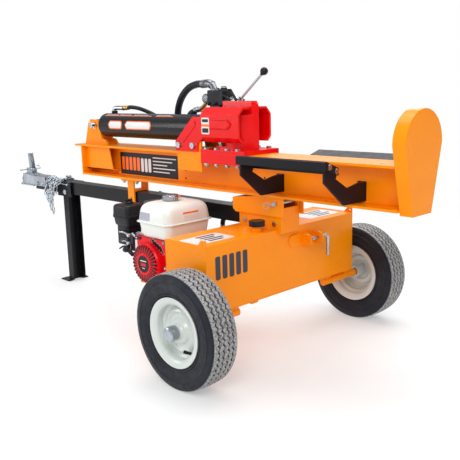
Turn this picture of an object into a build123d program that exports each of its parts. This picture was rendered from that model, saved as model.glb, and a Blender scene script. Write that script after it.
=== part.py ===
from build123d import *
import os
from math import asin, cos, degrees, radians, sin, sqrt

# Towable hydraulic log splitter, in millimetres.
# Every function below works in a frame with its origin on the ground under the axle:
# +X runs back to the foot plate, -X forward to the hitch, +Y to the right-hand wheel, +Z up.
# save() shifts each piece so that the written origin is on the ground at mid-length.

# overall
FRONT_X = -2033.0
FOOT_REAR_X = 604.0
MID_X = (FRONT_X + FOOT_REAR_X) / 2
GAP = 0.05                      # radial running clearance of pins and shafts
BOLT_GAP = 0.3                  # radial clearance of bolts in their holes

# wheels, 4.80-8
TYRE_R = 210.0
TYRE_HALF = 61.0
WHEEL_Y = 516.0
AXLE_Z = TYRE_R
BEAD_R = 101.6
HUB_R = 25.5
HUB_END = 66.0
SEAT_R = 22.5
RIM_R = 125.0
RIM_SEAT, RIM_EDGE = 51.0, 55.0
SPINDLE_R = 12.5

# hydraulic tank
TANK_X0, TANK_X1 = -195.0, 25.0
TANK_HALF_Y = 430.0
TANK_Z0, TANK_Z1 = 237.0, 489.0
TANK_WALL = 5.0
TANK_LIP = TANK_Z1 + 2
EAR_TOP = 510.0
EAR, EAR_SLOPE = 24.0, 16.0
CAP_X, CAP_Y = -30.0, -112.0
CAP_RISE = 19.0

# vertical lock lugs on the tank's rear face
LUG_X, LUG_Z = 56.0, 431.0
LUG_R = 24.0
LOCK_PIN_R = 7.0
LUG_Y = (80.0, 152.0)
LUG_T = 8.0
LOCK_PIN_TIP = 112.0

# tongue
TONGUE_HALF = 32.5
TONGUE_Z0, TONGUE_Z1 = 489.0, 554.0
TONGUE_X0, TONGUE_X1 = -1850.0, 28.0
TONGUE_WALL = 5.0

# tilting beam
PIVOT_X, PIVOT_Z = 18.0, 590.0
PIVOT_R = 9.5
BRACKET_X0, BRACKET_X1 = -180.0, 41.0
BRACKET_HALF, BRACKET_T = 54.0, 6.0
BRACKET_LOW = 474.0
BRACKET_BOLTS = ((-147.0, 512.0), (10.0, 511.0))
CHANNEL_X0 = -209.0
CHANNEL_HALF = 61.5
BEAM_X0, BEAM_X1 = -1280.0, 556.0
BEAM_TOP, BEAM_BOTTOM = 768.0, 616.0
BEAM_HALF = 76.0
FLANGE_T = 9.0
WEB_T = 7.0
GUSSET_OUT = 46.0
TOP_FLANGE_X0 = -1334.0
FOOT_Z0, FOOT_Z1 = 605.0, 948.0
FOOT_R = 112.0
FOOT_BOTTOM_HALF = 57.0
FOOT_WALL = 8.0

# cylinder
CYL_Z = 863.0
CYL_R = 57.15
BORE_R = 50.8
CYL_X0, CYL_X1 = -1140.0, -350.0
ROD_R = 22.0
TANG_X = -1200.0
TANG_R = 12.7

# wedge and slide
WEDGE_X0, WEDGE_X1 = -303.0, -115.0
WEDGE_TOP = 975.0
SLIDE_X0, SLIDE_X1 = -350.0, -102.0
SLIDE_HALF = 100.0
SLIDE_Z0, SLIDE_Z1 = 729.0, 785.0
SLIDE_BOLT_Y = 89.0
SLIDE_BOLT_X = (-325.0, -265.0, -205.0, -145.0)

# stripper
SHELL_X0, SHELL_X1 = -352.0, -137.0
SHELL_Y = 94.0
SHELL_T = 8.0
STRIPPER_BOLT_X = (-493.0, -405.0)
STRIPPER_BOLT_Z = 797.0

# log cradles
ARM_X = (8.0, 382.0)
ARM_T = 8.0
CRADLE_X0, CRADLE_X1 = -6.0, 395.0
CRADLE_IN_Y, CRADLE_OUT_Y = 170.0, 237.0
CRADLE_LOW, CRADLE_HIGH = 762.0, 789.0
RIGHT_DROP = 16.0

# front saddle
SADDLE_X0, SADDLE_X1 = -943.0, -895.0
SADDLE_PIN_X, SADDLE_PIN_Z = -919.0, 521.0
SADDLE_PIN_R = 6.5
SADDLE_BOLTS = [(x, y) for x in (-962.0, -863.0) for y in (-48.0, 48.0)]

# leg
LEG_X, LEG_Z = -1512.0, 499.0
LEG_HALF = 38.0
LEG_WALL = 4.0
LEG_WEB_X = -1550.0
LEG_EDGE_X = -1502.0
LEG_PIN_R = 8.0
EAR_X0, EAR_X1 = -1595.0, -1462.0
LEG_LOCK_X, LEG_LOCK_Z = -1480.0, 541.0

# coupler
BALL_X, BALL_Z = -1986.0, 533.0
BALL_R = 26.0
COUPLER_X1 = -1735.0
COUPLER_Z0 = 508.0
LATCH_X, LATCH_Z = -1935.0, 588.0
COUPLER_PIN_X, COUPLER_PIN_Z = -1962.0, 590.0
COUPLER_BOLT_X = (-1820.0, -1765.0)
COUPLER_BOLT_Z = 522.0

# engine
ENG_X, ENG_Z = -460.0, 330.0
ENG_BASE = 224.0
CRANK_R = 12.0
CYL_TILT = 25.0
FUEL_X0, FUEL_X1 = -511.0, -316.0
FUEL_Y0, FUEL_Y1 = -320.0, -85.0
FUEL_Z0, FUEL_SEAM, FUEL_Z1 = 437.0, 503.0, 585.0
FUEL_CAP_X, FUEL_CAP_Y = -412.0, -215.0
FUEL_CAP_R = 34.0
AIR_X0, AIR_X1 = -714.0, -604.0
AIR_Y0, AIR_Y1 = -300.0, -195.0
AIR_Z0, AIR_SEAM, AIR_Z1 = 458.0, 498.0, 550.0
RECOIL_R = 85.0
GRIP = (-618.0, -300.0, 364.0)

# control valve
VALVE_X0, VALVE_X1 = -424.0, -333.0
VALVE_Y = 45.0
VALVE_Z0, VALVE_Z1 = 955.0, 1020.0
SPOOL_Z = 985.0
SPOOL_R = 8.0
LEVER_X, LEVER_Z = -268.0, 972.0
LEVER_R = 5.5
KNOB_X, KNOB_Z = -125.0, 1087.0

# hoses
HOSE_R = 11.0
SUCTION_R = 17.0


# ---------------------------------------------------------------- helpers

def block(x0, x1, y0, y1, z0, z1):
    return Pos((x0 + x1) / 2, (y0 + y1) / 2, (z0 + z1) / 2) * Box(x1 - x0, y1 - y0, z1 - z0)


def round_x(r, x0, x1, y, z):
    return Pos((x0 + x1) / 2, y, z) * Rot(0, 90, 0) * Cylinder(r, x1 - x0)


def round_y(r, y0, y1, x, z):
    return Pos(x, (y0 + y1) / 2, z) * Rot(90, 0, 0) * Cylinder(r, y1 - y0)


def round_z(r, z0, z1, x, y):
    return Pos(x, y, (z0 + z1) / 2) * Cylinder(r, z1 - z0)


def hex_x(across, x0, x1, y, z):
    head = extrude(RegularPolygon(across / sqrt(3), 6), x1 - x0)
    return Pos(x0, y, z) * Rot(0, 90, 0) * head


def hex_y(across, y0, y1, x, z):
    head = extrude(RegularPolygon(across / sqrt(3), 6), y1 - y0)
    return Pos(x, y0, z) * Rot(-90, 0, 0) * head


def hex_z(across, z0, z1, x, y):
    return Pos(x, y, z0) * extrude(RegularPolygon(across / sqrt(3), 6), z1 - z0)


def plate_y(outline, y0, y1, corner=0.0):
    """Plate whose (x, z) outline lies across the machine, from y0 to y1."""
    face = make_face(Polyline([(x, y0, z) for x, z in outline], close=True))
    if corner:
        face = face.face().fillet_2d(corner, face.vertices())
    return extrude(face, amount=y1 - y0, dir=(0, 1, 0))


def plate_x(outline, x0, x1, corner=0.0):
    """Plate whose (y, z) outline faces along the machine, from x0 to x1."""
    face = make_face(Polyline([(x0, y, z) for y, z in outline], close=True))
    if corner:
        face = face.face().fillet_2d(corner, face.vertices())
    return extrude(face, amount=x1 - x0, dir=(1, 0, 0))


def plate_z(outline, z0, z1, corner=0.0):
    """Plate whose (x, y) outline lies flat, from z0 to z1."""
    face = make_face(Polyline([(x, y, z0) for x, y in outline], close=True))
    if corner:
        face = face.face().fillet_2d(corner, face.vertices())
    return extrude(face, amount=z1 - z0, dir=(0, 0, 1))


def mirrored(shape):
    return mirror(shape, about=Plane.XZ)


def both(shape):
    """The shape and its mirror image on the other side of the machine."""
    return Compound(children=[*solids(shape), *solids(mirrored(shape))])


def solids(*shapes):
    found = []
    for shape in shapes:
        found.extend(shape.solids())
    return found


def group(*shapes):
    return Compound(children=solids(*shapes))


def pipe(points, r):
    """Round bar or hose along a smooth curve through the points."""
    path = Spline(*[Vector(*p) for p in points])
    start = Plane(origin=path @ 0, z_dir=path % 0)
    return sweep(start * Circle(r), path=path)


def bent_rod(points, r, bend):
    """Round bar along straight runs joined by bends of one radius."""
    path = FilletPolyline(*points, radius=bend)
    start = Plane(origin=path @ 0, z_dir=path % 0)
    return sweep(start * Circle(r), path=path)


def save(name, *shapes):
    """Write one node; its pieces may be several separate solids."""
    pieces = [s.moved(Location((-MID_X, 0, 0))) for s in solids(*shapes)]
    part = pieces[0] if len(pieces) == 1 else Compound(children=pieces)
    part.label = name
    export_step(part, f"parts/{name}.step")


# ---------------------------------------------------------------- wheels

def wheel_face(outline):
    """Half section of a wheel part; the outline is (offset outward, radius)."""
    return make_face(Polyline([(r, t, 0) for t, r in outline], close=True))


def wheel_ring(outline):
    """Solid of revolution of a half section about a wheel's axis."""
    return revolve(wheel_face(outline), Axis.Y, 360)


def on_wheel(shape, side):
    """Put a shape built about +Y onto the left (-1) or right (+1) wheel."""
    if side < 0:
        shape = mirrored(shape)
    return Pos(0, side * WHEEL_Y, AXLE_Z) * shape


def tyre():
    bead, side, shoulder = TYRE_HALF - 15, TYRE_HALF, TYRE_HALF - 9
    edge_r, inner_r = TYRE_R - 6, TYRE_R - 20
    outer = [
        Line((BEAD_R + 2, bead), (RIM_R + 2, bead + 4)),
        ThreePointArc((RIM_R + 2, bead + 4), (162, side), (edge_r, shoulder)),
        ThreePointArc((edge_r, shoulder), (TYRE_R, 0), (edge_r, -shoulder)),
        ThreePointArc((edge_r, -shoulder), (162, -side), (RIM_R + 2, -bead - 4)),
        Line((RIM_R + 2, -bead - 4), (BEAD_R + 2, -bead)),
    ]
    inner = [
        Line((BEAD_R + 2, -bead), (BEAD_R + 2, 9 - bead)),
        ThreePointArc((BEAD_R + 2, 9 - bead), (158, 10 - side), (inner_r, 10 - shoulder)),
        ThreePointArc((inner_r, 10 - shoulder), (TYRE_R - 15, 0), (inner_r, shoulder - 10)),
        ThreePointArc((inner_r, shoulder - 10), (158, side - 10), (BEAD_R + 2, bead - 9)),
        Line((BEAD_R + 2, bead - 9), (BEAD_R + 2, bead)),
    ]
    return revolve(make_face(outer + inner), Axis.Y, 360)


def rim():
    """Stepped barrel, dished disc and hub tube, turned as one profile."""
    barrel = [
        (-RIM_EDGE, RIM_R), (-RIM_SEAT, RIM_R), (-48, 106), (-46, 101), (-26, 101), (-20, 90), (10, 90),
        (16, 101), (46, 101), (48, 106), (RIM_SEAT, RIM_R), (RIM_EDGE, RIM_R), (RIM_EDGE - 1, 118),
        (51, 108), (46, 100), (40, 97.5), (18, 97.5), (12, 86.5), (-22, 86.5), (-28, 97.5), (-40, 97.5),
        (-46, 100), (-51, 108), (1 - RIM_EDGE, 118),
    ]
    disc = [
        (2, 88), (11, 88), (22, 78), (26, 70), (18, 60), (20, 48), (30, 40), (34, HUB_R - 1),
        (28, HUB_R - 1), (24, 38), (14, 46), (12, 62), (19, 70), (14, 78), (2, 84),
    ]
    hub = [(-40, SEAT_R), (-40, HUB_R), (HUB_END, HUB_R), (HUB_END, SEAT_R)]
    profile = wheel_face(barrel) + wheel_face(disc) + wheel_face(hub)
    return revolve(profile, Axis.Y, 360)


def hub_cap():
    plug = SEAT_R - GAP
    tip = HUB_END + 13
    return wheel_ring([
        (HUB_END - 5, plug - 3), (HUB_END - 5, plug), (HUB_END, plug), (HUB_END, HUB_R), (tip - 3, HUB_R),
        (tip, HUB_R - 5), (tip, 0.0), (tip - 3, 0.0), (tip - 3, plug - 3),
    ])


def bearings():
    rings = []
    for t in (-34, HUB_END - 23):
        rings.append(wheel_ring([
            (t, SPINDLE_R + GAP), (t, SEAT_R - 0.02), (t + 15, SEAT_R - 0.02), (t + 15, SPINDLE_R + GAP),
        ]))
    return group(*rings)


def axle_stub():
    inner_end, shoulder = 257.0, WHEEL_Y - 42
    stub = round_y(16, inner_end, shoulder, 0, AXLE_Z)
    spindle = round_y(SPINDLE_R, shoulder, WHEEL_Y + HUB_END + 6, 0, AXLE_Z)
    pads = [block(-11, 11, y, y + 34, AXLE_Z + 8, TANK_Z0) for y in (262.0, 390.0)]
    return stub + spindle + pads


def castle_nut():
    y0 = WHEEL_Y + HUB_END - 7
    nut = hex_y(32, y0, y0 + 8, 0, AXLE_Z)
    return nut - round_y(SPINDLE_R, y0 - 1, y0 + 9, 0, AXLE_Z)


# ---------------------------------------------------------------- tank and its fittings

def end_plate():
    """Near end plate of the tank, with an upright ear at its rear top corner."""
    outline = [
        (TANK_X0, TANK_Z0), (TANK_X1, TANK_Z0), (TANK_X1, EAR_TOP), (TANK_X1 - EAR, EAR_TOP),
        (TANK_X1 - EAR - EAR_SLOPE, TANK_LIP), (TANK_X0, TANK_LIP),
    ]
    plate = plate_y(outline, -TANK_HALF_Y, -TANK_HALF_Y + TANK_WALL)
    return plate - round_y(4, -TANK_HALF_Y - 1, -TANK_HALF_Y + TANK_WALL + 1, TANK_X1 - EAR / 2, EAR_TOP - 11)


def lock_lug(y):
    """Bent plate on the tank's rear face: a flat base and a round-ended tab."""
    foot = 50.0
    base = round_x(LUG_R, TANK_X1, TANK_X1 + 6, y - foot, LUG_Z)
    base += block(TANK_X1, TANK_X1 + 6, y - foot, y + LUG_T, LUG_Z - LUG_R, LUG_Z + LUG_R)
    tab = block(TANK_X1, LUG_X, y, y + LUG_T, LUG_Z - LUG_R, LUG_Z + LUG_R)
    tab += round_y(LUG_R, y, y + LUG_T, LUG_X, LUG_Z)
    return base + tab - round_y(LOCK_PIN_R + GAP, y - 1, y + LUG_T + 1, LUG_X, LUG_Z)


def hydraulic_tank():
    shell = block(TANK_X0, TANK_X1, -TANK_HALF_Y, TANK_HALF_Y, TANK_Z0, TANK_Z1)
    shell -= block(TANK_X0 + TANK_WALL, TANK_X1 - TANK_WALL, TANK_WALL - TANK_HALF_Y,
                   TANK_HALF_Y - TANK_WALL, TANK_Z0 + TANK_WALL, TANK_Z1 - TANK_WALL)
    shell += end_plate()
    shell += mirrored(end_plate())
    shell -= round_z(17, TANK_Z1 - TANK_WALL - 1, TANK_Z1 + 1, CAP_X, CAP_Y)
    neck = round_z(21, TANK_Z1 - TANK_WALL, TANK_Z1 + CAP_RISE, CAP_X, CAP_Y)
    neck -= round_z(17, TANK_Z1 - TANK_WALL - 1, TANK_Z1 + CAP_RISE + 1, CAP_X, CAP_Y)
    drain = block(8, TANK_X1 - 5, -200, -165, TANK_Z0 - 9, TANK_Z0)
    shell = shell + neck + drain
    for y in LUG_Y:
        shell += lock_lug(y)
    return shell


def filler_cap():
    seat = TANK_Z1 + CAP_RISE + 0.5
    cap = round_z(31, seat, seat + 21, CAP_X, CAP_Y)
    cap = fillet(cap.edges().group_by(Axis.Z)[-1], 3)
    return cap + round_z(17 - GAP, TANK_Z1 - 4, seat, CAP_X, CAP_Y)


def vertical_lock_pin():
    bend_y = 216.0
    path = [(LUG_X, LOCK_PIN_TIP, LUG_Z), (LUG_X, bend_y, LUG_Z), (LUG_X, bend_y, LUG_Z - 84)]
    return bent_rod(path, LOCK_PIN_R, 14)


# ---------------------------------------------------------------- tongue, leg, coupler

def tongue_tube():
    tube = block(TONGUE_X0, TONGUE_X1, -TONGUE_HALF, TONGUE_HALF, TONGUE_Z0, TONGUE_Z1)
    inner = TONGUE_HALF - TONGUE_WALL
    z0, z1 = TONGUE_Z0 + TONGUE_WALL, TONGUE_Z1 - TONGUE_WALL
    tube -= block(TONGUE_X0 - 1, TONGUE_X1 + 1, -inner, inner, z0, z1)
    ear = block(EAR_X0, EAR_X1, LEG_HALF + 1, LEG_HALF + 6, TONGUE_Z0 - 14, TONGUE_Z1)
    ear += block(EAR_X0, EAR_X1, TONGUE_HALF, LEG_HALF + 1, TONGUE_Z1 - 24, TONGUE_Z1)
    tube = tube + ear + mirrored(ear)
    reach = LEG_HALF + 10
    tube -= round_y(LEG_PIN_R, -reach, reach, LEG_X, LEG_Z)
    tube -= round_y(5.2, -reach, reach, LEG_LOCK_X, LEG_LOCK_Z)
    tube -= round_y(SADDLE_PIN_R + 0.5, -reach, reach, SADDLE_PIN_X, SADDLE_PIN_Z)
    for x in COUPLER_BOLT_X:
        tube -= round_y(6 + BOLT_GAP, -reach, reach, x, COUPLER_BOLT_Z)
    return tube


def leg():
    top = LEG_Z + 20
    inner = LEG_HALF - LEG_WALL
    wall = block(LEG_WEB_X, LEG_EDGE_X, inner, LEG_HALF, 6, top - 20)
    wall += round_y(20, inner, LEG_HALF, LEG_X, LEG_Z)
    wall -= round_y(LEG_PIN_R + GAP, inner - 1, LEG_HALF + 1, LEG_X, LEG_Z)
    web = block(LEG_WEB_X, LEG_WEB_X + LEG_WALL, -LEG_HALF, LEG_HALF, 6, TONGUE_Z0 - 3)
    foot_x0, foot_x1, half = LEG_WEB_X - 46, LEG_EDGE_X - 14, 62.0
    notch = 34.0
    foot = plate_z([
        (foot_x0, -half), (foot_x1, -half), (foot_x1, -notch - 3), (foot_x1 - 26, -notch + 14),
        (foot_x1 - 26, notch - 14), (foot_x1, notch + 3), (foot_x1, half), (foot_x0, half),
    ], 0, 6)
    return wall + mirrored(wall) + web + foot


def leg_pivot_pin():
    half = LEG_HALF + 6
    pin = round_y(LEG_PIN_R - GAP, -half, half, LEG_X, LEG_Z)
    for side in (-1, 1):
        y0, y1 = sorted((side * half, side * (half + 8)))
        pin += round_y(13, y0, y1, LEG_X, LEG_Z)
    return pin


def leg_lock_pin():
    half = LEG_HALF + 6
    pin = round_y(5, -half - 12, half + 10, LEG_LOCK_X, LEG_LOCK_Z)
    wire = bent_rod([
        (LEG_LOCK_X, -half - 9, LEG_LOCK_Z), (LEG_LOCK_X - 92, -half - 9, LEG_LOCK_Z + 4),
        (LEG_LOCK_X - 118, -half - 9, LEG_LOCK_Z - 62),
    ], 2.5, 8)
    return pin + wire


def coupler_body():
    half = 37.5
    nose_r = 39.0
    dome = round_z(nose_r, COUPLER_Z0, BALL_Z, BALL_X, 0) + Pos(BALL_X, 0, BALL_Z) * Sphere(nose_r)
    dome &= block(BALL_X - 60, BALL_X + 60, -60, 60, COUPLER_Z0, BALL_Z + 60)
    neck = plate_y([
        (BALL_X, COUPLER_Z0), (COUPLER_X1, COUPLER_Z0), (COUPLER_X1, 561), (-1880, 562), (-1940, 568),
        (BALL_X, 568),
    ], -half, half)
    lip = round_z(nose_r + 8, COUPLER_Z0 - 5, COUPLER_Z0 + 1, BALL_X, 0)
    lip += block(BALL_X, -1860, -half - 6, half + 6, COUPLER_Z0 - 5, COUPLER_Z0 + 1)
    bracket = block(COUPLER_PIN_X - 12, LATCH_X + 40, -20, 20, 560, 571)
    cheek = block(LATCH_X - 16, LATCH_X + 16, 13, 19, 566, LATCH_Z) + round_y(16, 13, 19, LATCH_X, LATCH_Z)
    cheek += block(COUPLER_PIN_X - 9, LATCH_X, 13, 19, 566, COUPLER_PIN_Z + 10)
    body = dome + neck + lip + bracket + cheek + mirrored(cheek)
    body -= round_z(BALL_R, COUPLER_Z0 - 6, BALL_Z, BALL_X, 0) + Pos(BALL_X, 0, BALL_Z) * Sphere(BALL_R)
    tongue = TONGUE_HALF + 0.3
    body -= block(TONGUE_X0 - 2, COUPLER_X1 + 1, -tongue, tongue, COUPLER_Z0 - 6, TONGUE_Z1 + 0.3)
    body -= block(-1935, TONGUE_X0 - 8, -half + 6, half - 6, COUPLER_Z0 - 6, 554)
    body -= round_y(6 + GAP, -25, 25, LATCH_X, LATCH_Z)
    body -= round_y(3 + BOLT_GAP, -25, 25, COUPLER_PIN_X, COUPLER_PIN_Z)
    for x in COUPLER_BOLT_X:
        body -= round_y(6 + BOLT_GAP, -half - 1, half + 1, x, COUPLER_BOLT_Z)
    return body


def coupler_lever():
    half = 12.0
    side = plate_y([
        (LATCH_X - 11, LATCH_Z - 6), (LATCH_X + 11, LATCH_Z - 6), (LATCH_X + 12, LATCH_Z + 26),
        (LATCH_X - 4, LATCH_Z + 98), (LATCH_X - 22, LATCH_Z + 95),
    ], half - 3, half)
    back = plate_y([
        (LATCH_X - 11, LATCH_Z + 4), (LATCH_X - 22, LATCH_Z + 95), (LATCH_X - 18, LATCH_Z + 96),
        (LATCH_X - 7, LATCH_Z + 4),
    ], -half, half)
    hub = round_y(10, -half, half, LATCH_X, LATCH_Z)
    pin = round_y(6, -20, 20, LATCH_X, LATCH_Z)
    return side + mirrored(side) + back + hub + pin


def coupler_pin():
    """Safety pin through the latch bracket, with a ball at one end and a hook at the other."""
    x, z = COUPLER_PIN_X, COUPLER_PIN_Z
    wire = bent_rod([(x, -62, z), (x, 66, z), (x - 14, 66, z + 14), (x - 14, 50, z + 16)], 3, 5)
    return wire + Pos(x, -62, z) * Sphere(5)


def coupler_bolts():
    half = 37.5
    bolts = []
    for x in COUPLER_BOLT_X:
        bolt = round_y(6, -half - 8, half + 10, x, COUPLER_BOLT_Z)
        bolt += hex_y(19, -half - 8, -half, x, COUPLER_BOLT_Z)
        bolt += hex_y(19, half, half + 9, x, COUPLER_BOLT_Z)
        bolts.append(bolt)
    return bolts


def chain_link(r=3.5, inner=24.0, width=19.0):
    """One oval link in the XY plane, its length along X."""
    wire = SlotOverall(inner + r, width).wires()[0]
    start = Plane(origin=wire @ 0, z_dir=wire % 0)
    return sweep(start * Circle(r), path=wire)


def safety_chains():
    """Two chains looped in a bunch below the coupler's bolts, one on each side."""
    link = chain_link()
    pitch = 22.0
    links = []
    for side in (-1, 1):
        x, z = -1742.0, 536.0
        for index in range(13):
            slope = max(-84.0, min(84.0, (index - 6) * 34.0))
            x += pitch * cos(radians(slope))
            z += pitch * sin(radians(slope))
            place = Pos(x, side * 62.0, z) * Rot(0, -slope, 0) * Rot(90 * (index % 2) + 45, 0, 0)
            links.append(place * link)
    return group(*links)


# ---------------------------------------------------------------- pivot bracket and beam

def pivot_bracket():
    """Welded bracket on the tank: it holds the tongue and carries the beam pivot."""
    inner, outer = BRACKET_HALF - BRACKET_T, BRACKET_HALF
    rear_x = BRACKET_X1 - BRACKET_T
    side = plate_y([
        (BRACKET_X0, TANK_Z1), (TANK_X1 + 1, TANK_Z1), (TANK_X1 + 1, BRACKET_LOW), (BRACKET_X1, BRACKET_LOW),
        (BRACKET_X1, 573), (PIVOT_X + 22, PIVOT_Z), (PIVOT_X - 22, PIVOT_Z), (-60, 560), (BRACKET_X0, 546),
    ], inner, outer)
    side += round_y(23, inner, outer, PIVOT_X, PIVOT_Z)
    side += block(BRACKET_X0 + 6, rear_x, TONGUE_HALF + 0.2, inner, TANK_Z1, TANK_Z1 + BRACKET_T)
    side -= round_y(PIVOT_R + GAP, inner - 1, outer + 1, PIVOT_X, PIVOT_Z)
    for x, z in BRACKET_BOLTS:
        side -= round_y(6 + BOLT_GAP, inner - 1, outer + 1, x, z)
    rear = block(rear_x, BRACKET_X1, -outer + 2, outer - 2, BRACKET_LOW, 573)
    return side + mirrored(side) + rear


def bracket_bolts():
    inner, outer = BRACKET_HALF - BRACKET_T, BRACKET_HALF
    bolts = []
    for x, z in BRACKET_BOLTS:
        bolt = round_y(6, TONGUE_HALF + 0.5, outer + 4, x, z)
        bolt += hex_y(17, outer, outer + 7, x, z)
        bolt += round_y(12, TONGUE_HALF + 0.5, inner, x, z)
        bolts.extend([bolt, mirrored(bolt)])
    return bolts


def pivot_pin():
    half = CHANNEL_HALF + 5
    pin = round_y(PIVOT_R, -half, half, PIVOT_X, PIVOT_Z)
    pin += round_y(14, half - 4, half + 3, PIVOT_X, PIVOT_Z)
    clip = bent_rod([
        (PIVOT_X + 12, -half + 2, PIVOT_Z + 10), (PIVOT_X - 26, -half + 2, PIVOT_Z - 14),
        (PIVOT_X - 34, -half + 2, PIVOT_Z - 2),
    ], 1.6, 3)
    return pin + clip


def pivot_channel():
    """Channel welded under the beam; its sides turn on the pivot pin outside the bracket."""
    inner, outer = CHANNEL_HALF - BRACKET_T, CHANNEL_HALF
    side = plate_y([
        (-195, 540), (PIVOT_X + 40, 540), (PIVOT_X + 40, BEAM_BOTTOM), (-60, BEAM_BOTTOM),
        (CHANNEL_X0, 598), (CHANNEL_X0, 553),
    ], inner, outer)
    side -= round_y(PIVOT_R + GAP, inner - 1, outer + 1, PIVOT_X, PIVOT_Z)
    web = block(CHANNEL_X0, CHANNEL_X0 + BRACKET_T, -outer, outer, 562, 598)
    return side + mirrored(side) + web


def beam():
    web_z0, web_z1 = BEAM_BOTTOM + FLANGE_T, BEAM_TOP - FLANGE_T
    top = block(TOP_FLANGE_X0, BEAM_X1, -BEAM_HALF, BEAM_HALF, web_z1, BEAM_TOP)
    bottom = block(BEAM_X0, BEAM_X1, -BEAM_HALF, BEAM_HALF, BEAM_BOTTOM, web_z0)
    web = block(BEAM_X0, BEAM_X1, -WEB_T / 2, WEB_T / 2, web_z0, web_z1)
    end = block(BEAM_X0, BEAM_X0 + 8, -BEAM_HALF, BEAM_HALF, web_z0, web_z1)
    gusset = beam_gusset(web_z1)
    body = top + bottom + web + end + gusset + mirrored(gusset)
    return body + lock_tab()


def beam_gusset(top):
    """Slanted plate from the foot of the web out to the top flange."""
    foot, t = 640.0, 7.0
    slope = make_face(Polyline([
        (-1270, WEB_T / 2 - 1, foot), (-1270, GUSSET_OUT - t, top + 1), (-1270, GUSSET_OUT, top + 1),
        (-1270, WEB_T / 2 - 1, foot - t),
    ], close=True))
    plate = extrude(slope, amount=180, dir=(1, 0, 0))
    ends = [(-1240, foot - t), (-1105, foot - t), (-1150, top + 1), (-1262, top + 1)]
    return plate & plate_y(ends, 0, BEAM_HALF)


def lock_tab():
    """Tab beside the beam whose hole meets the lock lugs when the beam stands upright."""
    hole_x = PIVOT_X + PIVOT_Z - LUG_Z
    hole_z = PIVOT_Z + LUG_X - PIVOT_X
    y0 = LUG_Y[0] + LUG_T + 5
    tab = block(104, hole_x, y0, y0 + 8, hole_z - 20, hole_z + 20)
    tab += round_y(20, y0, y0 + 8, hole_x, hole_z)
    shelf = block(104, 138, 60, y0 + 8, hole_z - 3, hole_z + 5)
    return tab + shelf - round_y(LOCK_PIN_R + 1.2, y0 - 1, y0 + 9, hole_x, hole_z)


def foot_outline(x, inset):
    r = FOOT_R - inset
    low = FOOT_BOTTOM_HALF - inset
    centre_z = FOOT_Z1 - FOOT_R
    bottom = FOOT_Z0 - (1 if inset else 0)
    left, right = (x, -r, centre_z), (x, r, centre_z)
    return make_face([
        Line((x, -low, bottom), (x, low, bottom)), Line((x, low, bottom), right),
        ThreePointArc(right, (x, 0, centre_z + r), left), Line(left, (x, -low, bottom)),
    ])


def foot_plate():
    depth = FOOT_REAR_X - BEAM_X1
    box = extrude(foot_outline(BEAM_X1, 0), amount=depth, dir=(1, 0, 0))
    inside = foot_outline(BEAM_X1 + FOOT_WALL, FOOT_WALL)
    hollow = extrude(inside, amount=depth - 2 * FOOT_WALL, dir=(1, 0, 0))
    return box - hollow


def saddle():
    plate = block(-975, -850, -58, 58, BEAM_BOTTOM - 10, BEAM_BOTTOM)
    side = block(SADDLE_X0, SADDLE_X1, 36, 44, 500, BEAM_BOTTOM - 10)
    cross = block(SADDLE_X0, SADDLE_X1, -36, 36, TONGUE_Z1 + 1, TONGUE_Z1 + 8)
    body = plate + side + mirrored(side) + cross
    body -= round_y(SADDLE_PIN_R + GAP, -50, 50, SADDLE_PIN_X, SADDLE_PIN_Z)
    for x, y in SADDLE_BOLTS:
        body -= round_z(5 + BOLT_GAP, BEAM_BOTTOM - 11, BEAM_BOTTOM + 1, x, y)
    return body


def saddle_pin():
    """Pin drawn back to the right-hand plate; pushed in, it ties the saddle to the tongue."""
    pin = round_y(SADDLE_PIN_R, 35, 132, SADDLE_PIN_X, SADDLE_PIN_Z)
    return pin + round_y(15, 132, 140, SADDLE_PIN_X, SADDLE_PIN_Z)


def cylinder_lugs():
    top = BEAM_TOP
    lug = plate_y([
        (-1300, top), (-1100, top), (-1122, top + 24), (-1152, top + 30), (-1178, CYL_Z + 26),
        (-1246, CYL_Z + 28), (-1264, CYL_Z + 8),
    ], 24, 34)
    lug -= round_y(TANG_R + BOLT_GAP, 23, 35, TANG_X, CYL_Z)
    return both(lug)


# ---------------------------------------------------------------- cylinder, wedge, stripper

def cylinder_barrel():
    barrel = round_x(CYL_R, CYL_X0, CYL_X1, 0, CYL_Z)
    barrel -= round_x(BORE_R, CYL_X0 + 22, CYL_X1 + 1, 0, CYL_Z)
    tang = round_y(28, -23, 23, TANG_X, CYL_Z) + block(TANG_X, CYL_X0 + 1, -23, 23, CYL_Z - 28, CYL_Z + 28)
    tang -= round_y(TANG_R + GAP, -24, 24, TANG_X, CYL_Z)
    rear_port = round_z(15, CYL_Z + 53, CYL_Z + 68, -1105, 20) - round_z(8, CYL_Z + 40, CYL_Z + 69, -1105, 20)
    front_port = round_z(15, CYL_Z + 53, CYL_Z + 68, -520, 20) - round_z(8, CYL_Z + 40, CYL_Z + 69, -520, 20)
    foot = block(-560, -532, -30, 30, BEAM_TOP, CYL_Z - 52)
    mount = block(VALVE_X0 + 8, CYL_X1 - 6, VALVE_Y - 24, VALVE_Y + 14, CYL_Z + 30, VALVE_Z0)
    outside = foot + mount - round_x(BORE_R + 2, CYL_X0, CYL_X1, 0, CYL_Z)
    return barrel + tang + rear_port + front_port + outside


def cylinder_gland():
    ring = round_x(CYL_R, CYL_X1, CYL_X1 + 16, 0, CYL_Z)
    ring += round_x(BORE_R - 0.02, CYL_X1 - 30, CYL_X1, 0, CYL_Z)
    return ring - round_x(ROD_R + GAP, CYL_X1 - 31, CYL_X1 + 17, 0, CYL_Z)


def cylinder_rod():
    rod = round_x(ROD_R, -1100, WEDGE_X0, 0, CYL_Z)
    piston = round_x(BORE_R - GAP, -1112, -1076, 0, CYL_Z)
    return rod + piston


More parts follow.
